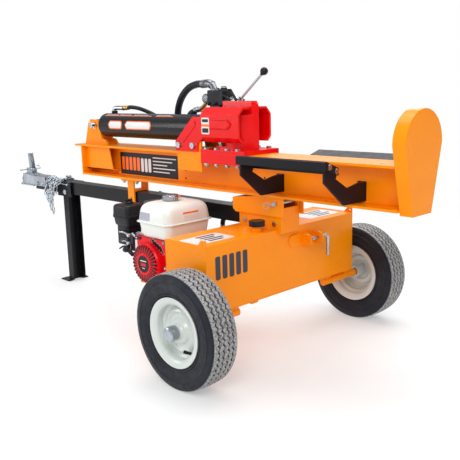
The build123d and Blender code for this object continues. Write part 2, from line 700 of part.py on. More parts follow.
def cylinder_pin():
    half = 62.0
    pin = round_y(TANG_R, -half, half, TANG_X, CYL_Z)
    pin += round_y(18, half - 2, half + 6, TANG_X, CYL_Z)
    clip = bent_rod([
        (TANG_X - 22, -half + 6, CYL_Z + 20), (TANG_X + 24, -half + 6, CYL_Z - 20),
        (TANG_X + 34, -half + 6, CYL_Z - 4),
    ], 2, 4)
    return pin + clip


def wedge():
    half = 13.0
    nose = WEDGE_X1 - 26
    blade = plate_z([(WEDGE_X0, -half), (nose, -half), (WEDGE_X1, 0), (nose, half), (WEDGE_X0, half)],
                    SLIDE_Z1, WEDGE_TOP)
    blade -= plate_y([(WEDGE_X1 - 18, WEDGE_TOP + 1), (WEDGE_X1 + 1, WEDGE_TOP - 18),
                      (WEDGE_X1 + 1, WEDGE_TOP + 1)], -half, half)
    boss = round_x(ROD_R + 12, WEDGE_X0, WEDGE_X0 + 40, 0, CYL_Z)
    wing = plate_z([
        (nose, half - 2), (nose + 8, half - 4), (-198, 66), (-232, 66), (-232, 58), (-200, 58),
        (-152, half - 2),
    ], SLIDE_Z1, 922)
    heel = block(WEDGE_X0 + 2, -232, half - 1, 60, SLIDE_Z1, SLIDE_Z1 + 12)
    return blade + boss + wing + mirrored(wing) + heel + mirrored(heel)


def slide_plate():
    plate = block(SLIDE_X0, SLIDE_X1, -SLIDE_HALF, SLIDE_HALF, BEAM_TOP + 1, SLIDE_Z1)
    for x in SLIDE_BOLT_X:
        for y in (-SLIDE_BOLT_Y, SLIDE_BOLT_Y):
            plate -= round_z(6 + BOLT_GAP, BEAM_TOP, SLIDE_Z1 + 1, x, y)
    return plate


def slide_keepers():
    flange = BEAM_HALF + 1
    keeper = block(SLIDE_X0, SLIDE_X1, flange, SLIDE_HALF, SLIDE_Z0, BEAM_TOP + 1)
    keeper += block(SLIDE_X0, SLIDE_X1, 52, flange, SLIDE_Z0, BEAM_TOP - FLANGE_T - 1)
    for x in SLIDE_BOLT_X:
        keeper -= round_z(6 + BOLT_GAP, SLIDE_Z0 - 1, BEAM_TOP + 2, x, SLIDE_BOLT_Y)
    return both(keeper)


def slide_bolts():
    bolts = []
    for x in SLIDE_BOLT_X:
        for y in (-SLIDE_BOLT_Y, SLIDE_BOLT_Y):
            bolt = round_z(6, SLIDE_Z0 - 12, SLIDE_Z1 + 8, x, y)
            bolt += hex_z(19, SLIDE_Z1, SLIDE_Z1 + 8, x, y) + hex_z(19, SLIDE_Z0 - 9, SLIDE_Z0, x, y)
            bolts.append(bolt)
    return bolts


def stripper_shell():
    """Bent shell beside the wedge with a slanted arm down to the bracket bolts."""
    outer = SHELL_Y
    inner = outer - SHELL_T
    skin = [(outer, 834), (outer, 924), (outer - 26, 952), (30, 952)]
    back = [(30, 952 - SHELL_T), (outer - 29, 952 - SHELL_T), (inner, 920), (inner, 838), (inner - 16, 820),
            (inner - 10, 814)]
    shell = plate_x(skin + back, SHELL_X0, SHELL_X1)
    rear_x = SHELL_X0 + 35
    arm = plate_y([
        (-517, 772), (-517, 812), (-404, 914), (rear_x, 914), (rear_x, 850), (-376, 806), (-380, 772),
    ], BEAM_HALF + 8, inner + 5)
    rib = plate_y([(-478, 812), (-466, 806), (-384, 882), (-392, 897)], inner, outer)
    part = shell + arm + rib
    for x in STRIPPER_BOLT_X:
        part -= round_y(8 + BOLT_GAP, BEAM_HALF + 7, outer + 1, x, STRIPPER_BOLT_Z)
    return part


def stripper_bracket():
    plate = plate_y([(-515, 690), (-363, 690), (-363, 816), (-382, 816), (-382, 800), (-515, 800)],
                    BEAM_HALF, BEAM_HALF + 8)
    plate += block(-515, -363, 40, BEAM_HALF, BEAM_TOP, BEAM_TOP + 10)
    for x in STRIPPER_BOLT_X:
        plate -= round_y(8 + BOLT_GAP, BEAM_HALF - 1, BEAM_HALF + 9, x, STRIPPER_BOLT_Z)
    return plate


def stripper_bolts():
    bolts = []
    for x in STRIPPER_BOLT_X:
        face = SHELL_Y - SHELL_T + 5
        bolt = round_y(8, BEAM_HALF - 14, face + 9, x, STRIPPER_BOLT_Z)
        bolt += hex_y(24, face, face + 9, x, STRIPPER_BOLT_Z)
        bolt += hex_y(24, BEAM_HALF - 10, BEAM_HALF, x, STRIPPER_BOLT_Z)
        bolts.extend([bolt, mirrored(bolt)])
    return bolts


# ---------------------------------------------------------------- log cradles

def cradle(drop):
    """Tray beside the beam on two bent arms; drop lowers the tray's outer edge."""
    low, high = CRADLE_LOW - drop / 2, CRADLE_HIGH - drop
    inner, outer = CRADLE_IN_Y, CRADLE_OUT_Y
    tray = plate_x([
        (inner, low), (outer, high), (outer + 6, high - 4), (outer + 6, high - 32), (outer + 1, high - 32),
        (outer + 1, high - 7), (outer - 1, high - 6), (inner + 5, low - 4), (inner + 5, low - 24),
        (inner, low - 24),
    ], CRADLE_X0, CRADLE_X1)
    web = WEB_T / 2
    arm_outline = [
        (web, 632), (132, 632), (outer + 1, 718), (outer + 1, high - 7), (outer - 1, high - 6),
        (inner + 5, low - 4), (inner + 5, 732), (180, 727), (113, 688), (50, 699), (web, 699),
    ]
    body = tray
    for x in ARM_X:
        body += plate_x(arm_outline, x, x + ARM_T)
        body += block(x - 26, x, web, web + 6, 632, 699)
    end = [(inner, low), (outer, high), (outer, high - 30), (inner, low - 24)]
    body += plate_x(end, CRADLE_X1 - 5, CRADLE_X1)
    for y, z in cradle_bolt_places(drop):
        body -= round_x(6 + BOLT_GAP, ARM_X[1] - 1, CRADLE_X1 + 1, y, z)
    return body


def cradle_bolt_places(drop):
    return (222.0, CRADLE_HIGH - drop - 20), (186.0, CRADLE_LOW - drop / 2 - 9)


def cradle_bolts(drop):
    bolts = []
    for y, z in cradle_bolt_places(drop):
        bolt = round_x(6, ARM_X[1] + ARM_T, CRADLE_X1 + 6, y, z)
        bolt += hex_x(17, CRADLE_X1, CRADLE_X1 + 6, y, z)
        bolts.append(bolt)
    return bolts


def saddle_bolts():
    bolts = []
    for x, y in SADDLE_BOLTS:
        bolt = round_z(5, BEAM_BOTTOM - 22, BEAM_BOTTOM, x, y)
        bolts.append(bolt + hex_z(17, BEAM_BOTTOM - 18, BEAM_BOTTOM - 10, x, y))
    return bolts


# ---------------------------------------------------------------- control valve

def valve_body():
    body = block(VALVE_X0, VALVE_X1, VALVE_Y - 30, VALVE_Y + 30, VALVE_Z0, VALVE_Z1)
    body = fillet(body.edges().filter_by(Axis.X), 7)
    body += round_x(20, VALVE_X0 - 8, VALVE_X0, VALVE_Y, SPOOL_Z)
    body += round_x(18, VALVE_X0 - 46, VALVE_X0 - 8, VALVE_Y, SPOOL_Z)
    body += round_x(20, VALVE_X1, VALVE_X1 + 12, VALVE_Y, SPOOL_Z)
    body -= round_x(SPOOL_R + GAP, VALVE_X0 - 36, VALVE_X1 + 13, VALVE_Y, SPOOL_Z)
    for x, y, r in ((-404, VALVE_Y, 17), (-358, VALVE_Y + 4, 14)):
        body += round_z(r, VALVE_Z1 - 1, VALVE_Z1 + 8, x, y)
    for y in (VALVE_Y - 25, VALVE_Y + 19):
        body += block(VALVE_X1 - 30, LEVER_X + 10, y, y + 6, LEVER_Z - 9, LEVER_Z + 9)
    return body - round_y(5 + GAP, VALVE_Y - 30, VALVE_Y + 30, LEVER_X, LEVER_Z)


def valve_spool():
    spool = round_x(SPOOL_R, VALVE_X0 - 22, LEVER_X - 20, VALVE_Y, SPOOL_Z)
    fork = block(LEVER_X - 22, LEVER_X + 8, VALVE_Y - 9, VALVE_Y - 6, SPOOL_Z - 6, SPOOL_Z + 6)
    fork += block(LEVER_X - 22, LEVER_X + 8, VALVE_Y + 6, VALVE_Y + 9, SPOOL_Z - 6, SPOOL_Z + 6)
    fork += block(LEVER_X - 24, LEVER_X - 18, VALVE_Y - 9, VALVE_Y + 9, SPOOL_Z - 6, SPOOL_Z + 6)
    return spool + fork


def valve_lever():
    dx, dz = KNOB_X - LEVER_X, KNOB_Z - LEVER_Z
    reach = sqrt(dx * dx + dz * dz)
    tilt = degrees(asin(dx / reach))
    rod = Pos(LEVER_X + dx / 2, VALVE_Y, LEVER_Z + dz / 2) * Rot(0, tilt, 0) * Cylinder(LEVER_R, reach)
    hub = round_y(7, VALVE_Y - 18, VALVE_Y + 18, LEVER_X, LEVER_Z)
    tongue = block(LEVER_X - 4, LEVER_X + 4, VALVE_Y - 4.5, VALVE_Y + 4.5, LEVER_Z, SPOOL_Z + 5)
    pin = round_y(5, VALVE_Y - 29, VALVE_Y + 29, LEVER_X, LEVER_Z)
    knob = Pos(KNOB_X, VALVE_Y, KNOB_Z) * Sphere(15)
    return rod + hub + tongue + pin + knob


# ---------------------------------------------------------------- engine and pump

def engine_mount():
    deck = block(-585, TANK_X0, -262, 60, ENG_BASE - 8, ENG_BASE)
    lip = block(TANK_X0 - 8, TANK_X0, -262, 60, ENG_BASE, TANK_Z0 + 60)
    return deck + lip - round_z(5.5, ENG_BASE - 9, ENG_BASE + 1, -575, -225)


def along_cylinder(shape):
    """Turn a shape built along +X to the engine's inclined cylinder axis."""
    return Pos(ENG_X, 0, ENG_Z) * Rot(0, CYL_TILT - 180, 0) * shape


def engine_block():
    y0, y1 = -214.0, -45.0
    case = block(-548, -372, y0, y1, ENG_BASE, 398)
    case = fillet(case.edges().filter_by(Axis.Y), 10)
    case += block(-575, -345, y0 + 10, y1 - 10, ENG_BASE, ENG_BASE + 10)
    case -= block(-540, -380, y0 + 8, y1 - 8, ENG_BASE + 12, 388)
    barrel = along_cylinder(block(70, 132, y0 + 22, y1 - 22, -42, 42))
    for offset in (84, 96, 108, 120):
        barrel += along_cylinder(block(offset, offset + 4, y0 + 10, y1 - 10, -54, 54))
    head = along_cylinder(block(132, 172, y0 + 14, y1 - 14, -52, 50))
    cover = along_cylinder(block(172, 196, y0 + 26, y1 - 26, -42, 42))
    case = case + barrel + head + cover
    return case - round_y(CRANK_R + GAP, y0 - 1, y1 + 1, ENG_X, ENG_Z)


def crankshaft():
    shaft = round_y(CRANK_R, -268, -2, ENG_X, ENG_Z)
    throws = round_y(44, -160, -146, ENG_X, ENG_Z) + round_y(44, -118, -104, ENG_X, ENG_Z)
    return shaft + throws


def flywheel():
    disc = round_y(74, -252, -236, ENG_X, ENG_Z)
    disc += round_y(40, -262, -252, ENG_X, ENG_Z)
    for index in range(16):
        blade = block(44, 72, -268, -251, -2, 2)
        disc += Pos(ENG_X, 0, ENG_Z) * Rot(0, index * 360 / 16, 0) * blade
    return disc - round_y(CRANK_R, -270, -230, ENG_X, ENG_Z)


def cover_outline(grow):
    body = round_y(104 + grow, -300 - grow, -218, ENG_X + 4, ENG_Z)
    return body + block(-545 - grow, -352 + grow, -300 - grow, -218, ENG_Z - 10, 434 + grow)


def engine_fan_cover():
    shell = cover_outline(0) - cover_outline(-3.5)
    shell -= cover_outline(-3.5).moved(Location((0, 20, 0)))
    return shell - round_y(RECOIL_R - 10, -302, -290, ENG_X, ENG_Z)


def recoil_housing():
    body = round_y(RECOIL_R, -318, -300, ENG_X, ENG_Z)
    crown = Pos(ENG_X, -318, ENG_Z) * Rot(90, 0, 0) * Cone(RECOIL_R, RECOIL_R - 20, 18, align=(
        Align.CENTER, Align.CENTER, Align.MIN))
    body += crown
    body -= round_y(RECOIL_R - 8, -320, -299, ENG_X, ENG_Z)
    slots = []
    for index in range(24):
        slot = block(42, 60, -340, -316, -2.6, 2.6)
        slots.append(Pos(ENG_X, 0, ENG_Z) * Rot(0, index * 15, 0) * slot)
    for slot in slots:
        body -= slot
    return body


def recoil_grip():
    x, y, z = GRIP
    stem = Cylinder(9, 44, align=(Align.CENTER, Align.CENTER, Align.MIN))
    return Pos(x, y, z) * Rot(0, 116, 0) * (Sphere(15) + stem)


def rounded_frame(x0, x1, y0, y1, z, r, inset):
    face = RectangleRounded(x1 - x0 - 2 * inset, y1 - y0 - 2 * inset, r)
    return Pos((x0 + x1) / 2, (y0 + y1) / 2, z) * face


def fuel_tank():
    def frame(z, inset, r):
        return rounded_frame(FUEL_X0, FUEL_X1, FUEL_Y0, FUEL_Y1, z, r, inset)
    lower = loft([frame(FUEL_Z0, 24, 18), frame(FUEL_Z0 + 16, 8, 26), frame(FUEL_SEAM, 2, 30)], ruled=True)
    upper = loft([frame(FUEL_SEAM, 2, 30), frame(FUEL_SEAM + 52, 10, 32), frame(FUEL_Z1 - 10, 22, 28),
                  frame(FUEL_Z1, 44, 20)], ruled=True)
    seam = extrude(frame(FUEL_SEAM - 2, -3, 34), 5)
    neck = round_z(17, FUEL_Z1 - 4, FUEL_Z1 + 8, FUEL_CAP_X, FUEL_CAP_Y)
    return lower + upper + seam + neck


def fuel_cap():
    cap = round_z(FUEL_CAP_R, FUEL_Z1 + 0.5, FUEL_Z1 + 22, FUEL_CAP_X, FUEL_CAP_Y)
    cap = fillet(cap.edges().group_by(Axis.Z)[-1], 4)
    return cap - round_z(17 + GAP, FUEL_Z1 - 1, FUEL_Z1 + 9, FUEL_CAP_X, FUEL_CAP_Y)


def air_cleaner_cover():
    def frame(z, inset, r):
        return rounded_frame(AIR_X0, AIR_X1, AIR_Y0, AIR_Y1, z, r, inset)
    cover = loft([frame(AIR_SEAM + 0.2, 0, 10), frame(AIR_Z1 - 8, 4, 12), frame(AIR_Z1, 12, 10)], ruled=True)
    x, y = (AIR_X0 + AIR_X1) / 2, (AIR_Y0 + AIR_Y1) / 2
    return cover - round_z(4 + GAP, AIR_SEAM - 1, AIR_Z1 + 1, x, y)


def air_cleaner_base():
    def frame(z, inset, r):
        return rounded_frame(AIR_X0, AIR_X1, AIR_Y0, AIR_Y1, z, r, inset)
    base = loft([frame(AIR_Z0, 6, 10), frame(AIR_SEAM, 1, 10)], ruled=True)
    elbow = block(AIR_X0 + 14, AIR_X1 - 50, AIR_Y0 + 24, AIR_Y1 - 6, 372, AIR_Z0 + 2)
    x, y = (AIR_X0 + AIR_X1) / 2, (AIR_Y0 + AIR_Y1) / 2
    return base + elbow + round_z(4, AIR_SEAM - 1, AIR_Z1 + 14, x, y)


def air_cleaner_knob():
    x, y = (AIR_X0 + AIR_X1) / 2, (AIR_Y0 + AIR_Y1) / 2
    knob = round_z(17, AIR_Z1 + 1, AIR_Z1 + 9, x, y)
    knob += block(x - 4, x + 4, y - 19, y + 19, AIR_Z1 + 8, AIR_Z1 + 22)
    return knob - round_z(4 + GAP, AIR_Z1, AIR_Z1 + 15, x, y)


def carburettor():
    body = block(-634, -600, -282, -232, 376, 424)
    bowl = round_z(20, 352, 377, -617, -257)
    return body + bowl + round_x(5, -600, -562, -240, 392)


def control_lever(x, z, length, angle):
    """Small pressed lever that swings about a screw along Y."""
    y = -288.0
    lever = Pos(x, 0, z) * Rot(0, -angle, 0) * block(0, length, y - 4, y, -4, 4)
    return lever + round_y(6, y - 4, y + 4, x, z)


def muffler():
    can = block(-680, -568, -160, -70, 468, 548)
    can = fillet(can.edges(), 12)
    return can + round_z(12, 456, 470, -600, -110)


def pump_adapter():
    y0, y1 = -45.0, 32.0
    bell = round_y(62, y0, y1, ENG_X, ENG_Z)
    bell -= round_y(46, y0 - 1, y1 - 8, ENG_X, ENG_Z)
    bell -= round_y(CRANK_R + 8, y1 - 9, y1 + 1, ENG_X, ENG_Z)
    for angle in (45, 135, 225, 315):
        window = Pos(ENG_X, 0, ENG_Z) * Rot(0, angle, 0) * block(40, 70, y0 + 20, y1 - 20, -16, 16)
        bell -= window
    return bell


def hydraulic_pump():
    y0 = 32.0
    front = block(ENG_X - 46, ENG_X + 46, y0, y0 + 22, ENG_Z - 58, ENG_Z + 58)
    body = block(ENG_X - 42, ENG_X + 42, y0 + 22, y0 + 118, ENG_Z - 54, ENG_Z + 54)
    body = fillet(body.edges().filter_by(Axis.Y), 14)
    inlet = round_x(20, ENG_X + 40, ENG_X + 62, y0 + 60, ENG_Z - 10)
    outlet = round_z(14, ENG_Z + 52, ENG_Z + 66, ENG_X, y0 + 84)
    pump = front + body + inlet + outlet
    return pump - round_y(CRANK_R - 2 + GAP, y0 - 1, y0 + 60, ENG_X, ENG_Z)


def pump_coupling():
    y0 = -2.0
    jaw = round_y(24, y0, y0 + 20, ENG_X, ENG_Z)
    return jaw + round_y(CRANK_R - 2, y0 + 20, y0 + 84, ENG_X, ENG_Z)


# ---------------------------------------------------------------- hoses

def chassis_hoses():
    """Suction hose from the tank to the pump, and the two lines up to the beam pivot."""
    pump_y = 92.0
    suction = pipe([
        (ENG_X + 66, pump_y, ENG_Z - 10), (-340, 94, ENG_Z - 14), (-260, 120, ENG_Z - 26),
        (TANK_X0 - 20, 126, ENG_Z - 30),
    ], SUCTION_R)
    pressure = pipe([
        (ENG_X, 116, ENG_Z + 70), (ENG_X + 8, 117, ENG_Z + 110), (-400, 116, 520), (-280, 104, 572),
        (-140, 94, 572), (-66, 90, 560),
    ], HOSE_R)
    drain = pipe([
        (-125, 190, TANK_Z1 + 4), (-124, 188, 530), (-104, 168, 560), (-66, 138, 566),
    ], HOSE_R)
    return group(suction, pressure, drain)


def beam_hoses():
    """Lines on the beam: inlet and return from the pivot to the valve, and both cylinder lines."""
    side = VALVE_Y + 34
    inlet = pipe([
        (24, 98, 590), (-26, 112, 606), (-62, 132, 690), (-80, 142, 800), (-250, 150, 900), (-350, 140, 975),
        (-358, side + 4, 985),
    ], HOSE_R)
    arch = pipe([
        (-680, 84, 790), (-676, 82, 870), (-640, 70, 950), (-567, 54, 1036), (-470, VALVE_Y, 1050),
    ], HOSE_R + 2)
    elbow = bent_rod([(-470, VALVE_Y, 1050), (-404, VALVE_Y, 1050), (-404, VALVE_Y, VALVE_Z1 + 10)], 13, 14)
    rear = pipe([
        (-1105, 20, CYL_Z + 78), (-1085, 24, CYL_Z + 92), (-980, 64, CYL_Z + 74), (-860, 92, CYL_Z + 20),
        (-700, 116, CYL_Z - 10), (-560, 120, CYL_Z + 30), (-440, 112, 960), (-400, side + 6, 985),
    ], 9)
    front = pipe([
        (-520, 20, CYL_Z + 78), (-530, 26, CYL_Z + 94), (-580, 70, CYL_Z + 92), (-610, 112, CYL_Z + 40),
    ], 9)
    return group(inlet, arch + elbow, rear, front)


# ---------------------------------------------------------------- write the nodes

def main():
    os.makedirs("parts", exist_ok=True)
    for side, word in ((-1, "left"), (1, "right")):
        save(f"{word}_tyre", on_wheel(tyre(), side))
        save(f"{word}_rim", on_wheel(rim(), side))
        save(f"{word}_hub_cap", on_wheel(hub_cap(), side))
        save(f"{word}_bearings", on_wheel(bearings(), side))
    save("hydraulic_tank", hydraulic_tank() + engine_mount())
    save("axle_stubs", both(axle_stub()), both(castle_nut()))
    save("filler_cap", filler_cap())
    save("vertical_lock_pin", vertical_lock_pin())
    save("tongue_tube", tongue_tube())
    save("leg", leg())
    save("leg_lock_pin", leg_lock_pin())
    save("coupler_body", coupler_body())
    save("coupler_lever", coupler_lever())
    save("safety_chains", safety_chains())
    save("pivot_bracket", pivot_bracket())
    save("frame_bolts", *bracket_bolts(), *coupler_bolts(), leg_pivot_pin(), coupler_pin())
    save("pivot_pin", pivot_pin())
    save("pivot_channel", pivot_channel())
    save("beam", beam())
    save("foot_plate", foot_plate())
    save("saddle", saddle())
    save("saddle_pin", saddle_pin())
    save("beam_brackets", cylinder_lugs(), both(stripper_bracket()))
    save("cylinder_barrel", cylinder_barrel())
    save("cylinder_gland", cylinder_gland())
    save("cylinder_rod", cylinder_rod())
    save("cylinder_pin", cylinder_pin())
    save("wedge", wedge())
    save("slide_plate", slide_plate())
    save("slide_keepers", slide_keepers())
    save("slide_bolts", *slide_bolts())
    save("stripper_left", mirrored(stripper_shell()))
    save("stripper_right", stripper_shell())
    near_bolts = [mirrored(bolt) for bolt in cradle_bolts(0)]
    save("beam_bolts", *stripper_bolts(), *near_bolts, *cradle_bolts(RIGHT_DROP), *saddle_bolts())
    save("cradle_left", mirrored(cradle(0)))
    save("cradle_right", cradle(RIGHT_DROP))
    save("valve_body", valve_body())
    save("valve_spool", valve_spool())
    save("valve_lever", valve_lever())
    save("engine_block", engine_block())
    save("crankshaft", crankshaft(), pump_coupling())
    save("flywheel", flywheel())
    save("engine_fan_cover", engine_fan_cover())
    save("recoil_housing", recoil_housing())
    save("recoil_grip", recoil_grip())
    save("fuel_tank", fuel_tank())
    save("fuel_cap", fuel_cap())
    save("air_cleaner_cover", air_cleaner_cover(), air_cleaner_knob())
    save("air_cleaner_base", air_cleaner_base())
    save("carburettor", carburettor())
    save("throttle_lever", control_lever(-560, 418, 34, 150))
    save("muffler", muffler())
    save("pump_adapter", pump_adapter())
    save("hydraulic_pump", hydraulic_pump())
    save("chassis_hoses", chassis_hoses())
    save("beam_hoses", beam_hoses())


main()
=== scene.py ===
"""Looks of the towable log splitter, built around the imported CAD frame."""
import math
from collections import namedtuple

import bmesh
import bpy
from mathutils import Matrix, Vector


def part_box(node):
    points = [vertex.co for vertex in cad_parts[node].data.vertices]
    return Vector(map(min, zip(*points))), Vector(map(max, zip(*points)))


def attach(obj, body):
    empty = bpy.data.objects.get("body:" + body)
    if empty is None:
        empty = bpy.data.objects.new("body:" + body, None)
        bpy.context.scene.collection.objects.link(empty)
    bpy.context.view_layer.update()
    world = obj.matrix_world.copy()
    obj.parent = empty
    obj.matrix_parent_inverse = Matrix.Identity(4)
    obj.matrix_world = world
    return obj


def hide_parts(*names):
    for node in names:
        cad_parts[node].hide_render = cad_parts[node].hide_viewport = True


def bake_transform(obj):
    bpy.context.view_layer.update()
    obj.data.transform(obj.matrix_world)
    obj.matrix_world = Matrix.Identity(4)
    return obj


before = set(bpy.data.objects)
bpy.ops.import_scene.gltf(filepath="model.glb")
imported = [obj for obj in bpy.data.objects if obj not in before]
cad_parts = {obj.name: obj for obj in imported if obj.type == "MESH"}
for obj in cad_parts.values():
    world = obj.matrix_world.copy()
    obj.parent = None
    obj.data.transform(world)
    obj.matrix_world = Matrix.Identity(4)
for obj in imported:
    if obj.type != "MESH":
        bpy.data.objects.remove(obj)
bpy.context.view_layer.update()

MM = 0.001
AXLE = sum(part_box("left_tyre"), Vector()) / 2      # sizes below are millimetres from here
BARREL_R = 57.15            # outside of the cylinder barrel
CYL_Z = 863.0               # height of the cylinder's axis
SPOOL_Y = 45.0              # centre of the valve and its lever
SPOOL_Z = 985.0
LEVER_PIVOT = (-268.0, 972.0)       # x and z of the pin under the lever
WEB_FACE = -3.5             # near face of the beam's web
TANK_TOP = 489.0            # top of the hydraulic tank
TANK_REAR = 25.0            # its rear face
LABEL_DEPTH = 0.8           # thickness of a label
INK_DEPTH = 0.5             # thickness of a bar printed on a label

Box = namedtuple("Box", "x0 x1 y0 y1 z0 z1")


# ---------------------------------------------------------------- places and meshes

def at(x, y, z):
    """Point in metres, from millimetres behind the axle, to the right and above ground."""
    return Vector((AXLE.x + x * MM, y * MM, z * MM))


def box_mm(node):
    """Box of a CAD node, in the same millimetres as at()."""
    low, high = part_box(node)
    x0, x1 = (low.x - AXLE.x) / MM, (high.x - AXLE.x) / MM
    return Box(x0, x1, low.y / MM, high.y / MM, low.z / MM, high.z / MM)


def centre_of(node):
    """Middle of a CAD node's box, in millimetres."""
    box = box_mm(node)
    return (box.x0 + box.x1) / 2, (box.y0 + box.y1) / 2, (box.z0 + box.z1) / 2


def soften(mesh, angle=32.0):
    """Smooth shading that keeps edges sharper than the angle."""
    mesh.shade_smooth()
    mesh.set_sharp_from_angle(angle=math.radians(angle))


def piece(name, verts, faces, material, body, slot=None, angle=32.0):
    """New visible piece riding on a body, with outward normals."""
    mesh = bpy.data.meshes.new(name)
    mesh.from_pydata([tuple(v) for v in verts], [], faces)
    build = bmesh.new()
    build.from_mesh(mesh)
    bmesh.ops.remove_doubles(build, verts=build.verts, dist=1e-6)
    bmesh.ops.recalc_face_normals(build, faces=build.faces)
    build.to_mesh(mesh)
    build.free()
    mesh.materials.append(material)
    soften(mesh, angle)
    obj = bpy.data.objects.new(name, mesh)
    bpy.context.scene.collection.objects.link(obj)
    if body:
        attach(obj, body)
    return obj


def joined(groups):
    """One (verts, faces) list from several."""
    verts, faces = [], []
    for more_verts, more_faces in groups:
        base = len(verts)
        verts.extend(more_verts)
        faces.extend([tuple(i + base for i in face) for face in more_faces])
    return verts, faces


def ring_faces(rings, sides, closed_ends=True, loop=False):
    """Quads between successive rings of points; ends are capped unless the rings form a loop."""
    faces = []
    for ring in range(rings if loop else rings - 1):
        a, b = ring * sides, (ring + 1) % rings * sides
        for i in range(sides):
            j = (i + 1) % sides
            faces.append((a + i, a + j, b + j, b + i))
    if closed_ends and not loop:
        faces.append(tuple(reversed(range(sides))))
        faces.append(tuple(range((rings - 1) * sides, rings * sides)))
    return faces


def basis(axis):
    """Two unit vectors across an axis."""
    axis = axis.normalized()
    helper = Vector((0, 0, 1)) if abs(axis.z) < 0.9 else Vector((1, 0, 0))
    across = axis.cross(helper).normalized()
    return across, axis.cross(across).normalized()


def lathe(centre, axis, profile, sides=48):
    """(verts, faces) of a turned part; profile is (distance along axis, radius) in mm."""
    axis = Vector(axis).normalized()
    u, v = basis(axis)
    verts = []
    for along, radius in profile:
        radius = max(radius, 0.02)
        for i in range(sides):
            a = 2 * math.pi * i / sides
            verts.append(centre + axis * along * MM + (u * math.cos(a) + v * math.sin(a)) * radius * MM)
    return verts, ring_faces(len(profile), sides)


def smooth_path(points, steps):
    """Catmull-Rom curve through the points."""
    ends = [points[0] * 2 - points[1]] + list(points) + [points[-1] * 2 - points[-2]]
    path = []
    for k in range(1, len(ends) - 2):
        p0, p1, p2, p3 = ends[k - 1:k + 3]
        for step in range(steps):
            t = step / steps
            path.append(0.5 * (2 * p1 + (p2 - p0) * t + (2 * p0 - 5 * p1 + 4 * p2 - p3) * t * t
                               + (3 * p1 - p0 - 3 * p2 + p3) * t ** 3))
    path.append(Vector(points[-1]))
    return path


def line(points, steps):
    """Smooth path through points given in millimetres."""
    return smooth_path([at(*p) for p in points], steps)


def tube(path, radius, sides=16, loop=False):
    """(verts, faces) of a round bar along a path; radius in mm is a number or a function of share."""
    verts = []
    count = len(path)
    across = None
    for k, point in enumerate(path):
        if loop:
            tangent = path[(k + 1) % count] - path[k - 1]
        else:
            tangent = path[min(k + 1, count - 1)] - path[max(k - 1, 0)]
        tangent.normalize()
        if across is None:
            across = basis(tangent)[0]
        across = (across - tangent * across.dot(tangent)).normalized()
        other = tangent.cross(across)
        r = radius(k / (count - 1)) if callable(radius) else radius
        for i in range(sides):
            a = 2 * math.pi * i / sides
            verts.append(point + (across * math.cos(a) + other * math.sin(a)) * r * MM)
    return verts, ring_faces(count, sides, loop=loop)


def slab(outline, to_point, depth, chamfer=0.6):
    """(verts, faces) of a flat plate with chamfered rims; to_point(u, v, w) places outline points."""
    us = [p[0] for p in outline]
    vs = [p[1] for p in outline]
    cu, cv = (min(us) + max(us)) / 2, (min(vs) + max(vs)) / 2
    scale_u = 1 - 2 * chamfer / max(max(us) - min(us), 1e-6)
    scale_v = 1 - 2 * chamfer / max(max(vs) - min(vs), 1e-6)
    verts = []
    layers = ((0, True), (chamfer, False), (depth - chamfer, False), (depth, True))
    for w, small in layers:
        for u, v in outline:
            if small:
                u, v = cu + (u - cu) * scale_u, cv + (v - cv) * scale_v
            verts.append(to_point(u, v, w))
    return verts, ring_faces(len(layers), len(outline))


def rounded_rect(x0, x1, y0, y1, r, steps=6):
    """Outline of a rectangle with round corners."""
    r = min(r, (x1 - x0) / 2 - 0.01, (y1 - y0) / 2 - 0.01)
    outline = []
    corners = ((x1 - r, y1 - r, 0), (x0 + r, y1 - r, 90), (x0 + r, y0 + r, 180), (x1 - r, y0 + r, 270))
    for cx, cy, start in corners:
        for k in range(steps + 1):
            a = math.radians(start + 90 * k / steps)
            outline.append((cx + r * math.cos(a), cy + r * math.sin(a)))
    return outline


def stacked(rows, x0, x1, y0, y1, corner):
    """(verts, faces) of a rounded tub; rows are (height, inset) from bottom to top."""
    verts = []
    for z, inset in rows:
        r = max(corner - 0.35 * inset, 6.0)
        outline = rounded_rect(x0 + inset, x1 - inset, y0 + inset, y1 - inset, r, 8)
        verts.extend(at(x, y, z) for x, y in outline)
    return verts, ring_faces(len(rows), len(outline))


def knurled(rows, radius, sides, tall, low_share, to_point):
    """(verts, faces) of a ridged band; rows are (height, growth) and tall(k) picks the raised steps."""
    verts = []
    for height, grow in rows:
        for k in range(sides):
            r = radius + grow * (1.0 if tall(k) else low_share)
            a = 2 * math.pi * k / sides
            verts.append(to_point(r * math.cos(a), r * math.sin(a), height))
    return verts, ring_faces(len(rows), sides)


# ---------------------------------------------------------------- materials

def nodes_of(name):
    """New material with its node tree and its shader."""
    material = bpy.data.materials.new(name)
    material.use_nodes = True
    tree = material.node_tree
    return material, tree, tree.nodes["Principled BSDF"]


def feed(tree, node, inputs):
    """Link sockets, or set plain values, on a node's inputs."""
    for key, value in inputs.items():
        if isinstance(value, bpy.types.NodeSocket):
            tree.links.new(value, node.inputs[key])
        else:
            node.inputs[key].default_value = value
    return node


def add(tree, kind, inputs=None, **settings):
    """New shader node with its settings and inputs."""
    node = tree.nodes.new("ShaderNode" + kind)
    for name, value in settings.items():
        setattr(node, name, value)
    return feed(tree, node, inputs or {})


def places(tree):
    """The object's own coordinates."""
    return add(tree, "TexCoord").outputs["Object"]


def noise(tree, scale, detail=4.0, stretch=(1, 1, 1)):
    """Noise value in the object's own coordinates; scale is in cells per metre."""
    mapping = add(tree, "Mapping", {"Scale": stretch, "Vector": places(tree)})
    inputs = {"Scale": scale, "Detail": detail, "Vector": mapping.outputs["Vector"]}
    return add(tree, "TexNoise", inputs).outputs["Fac"]


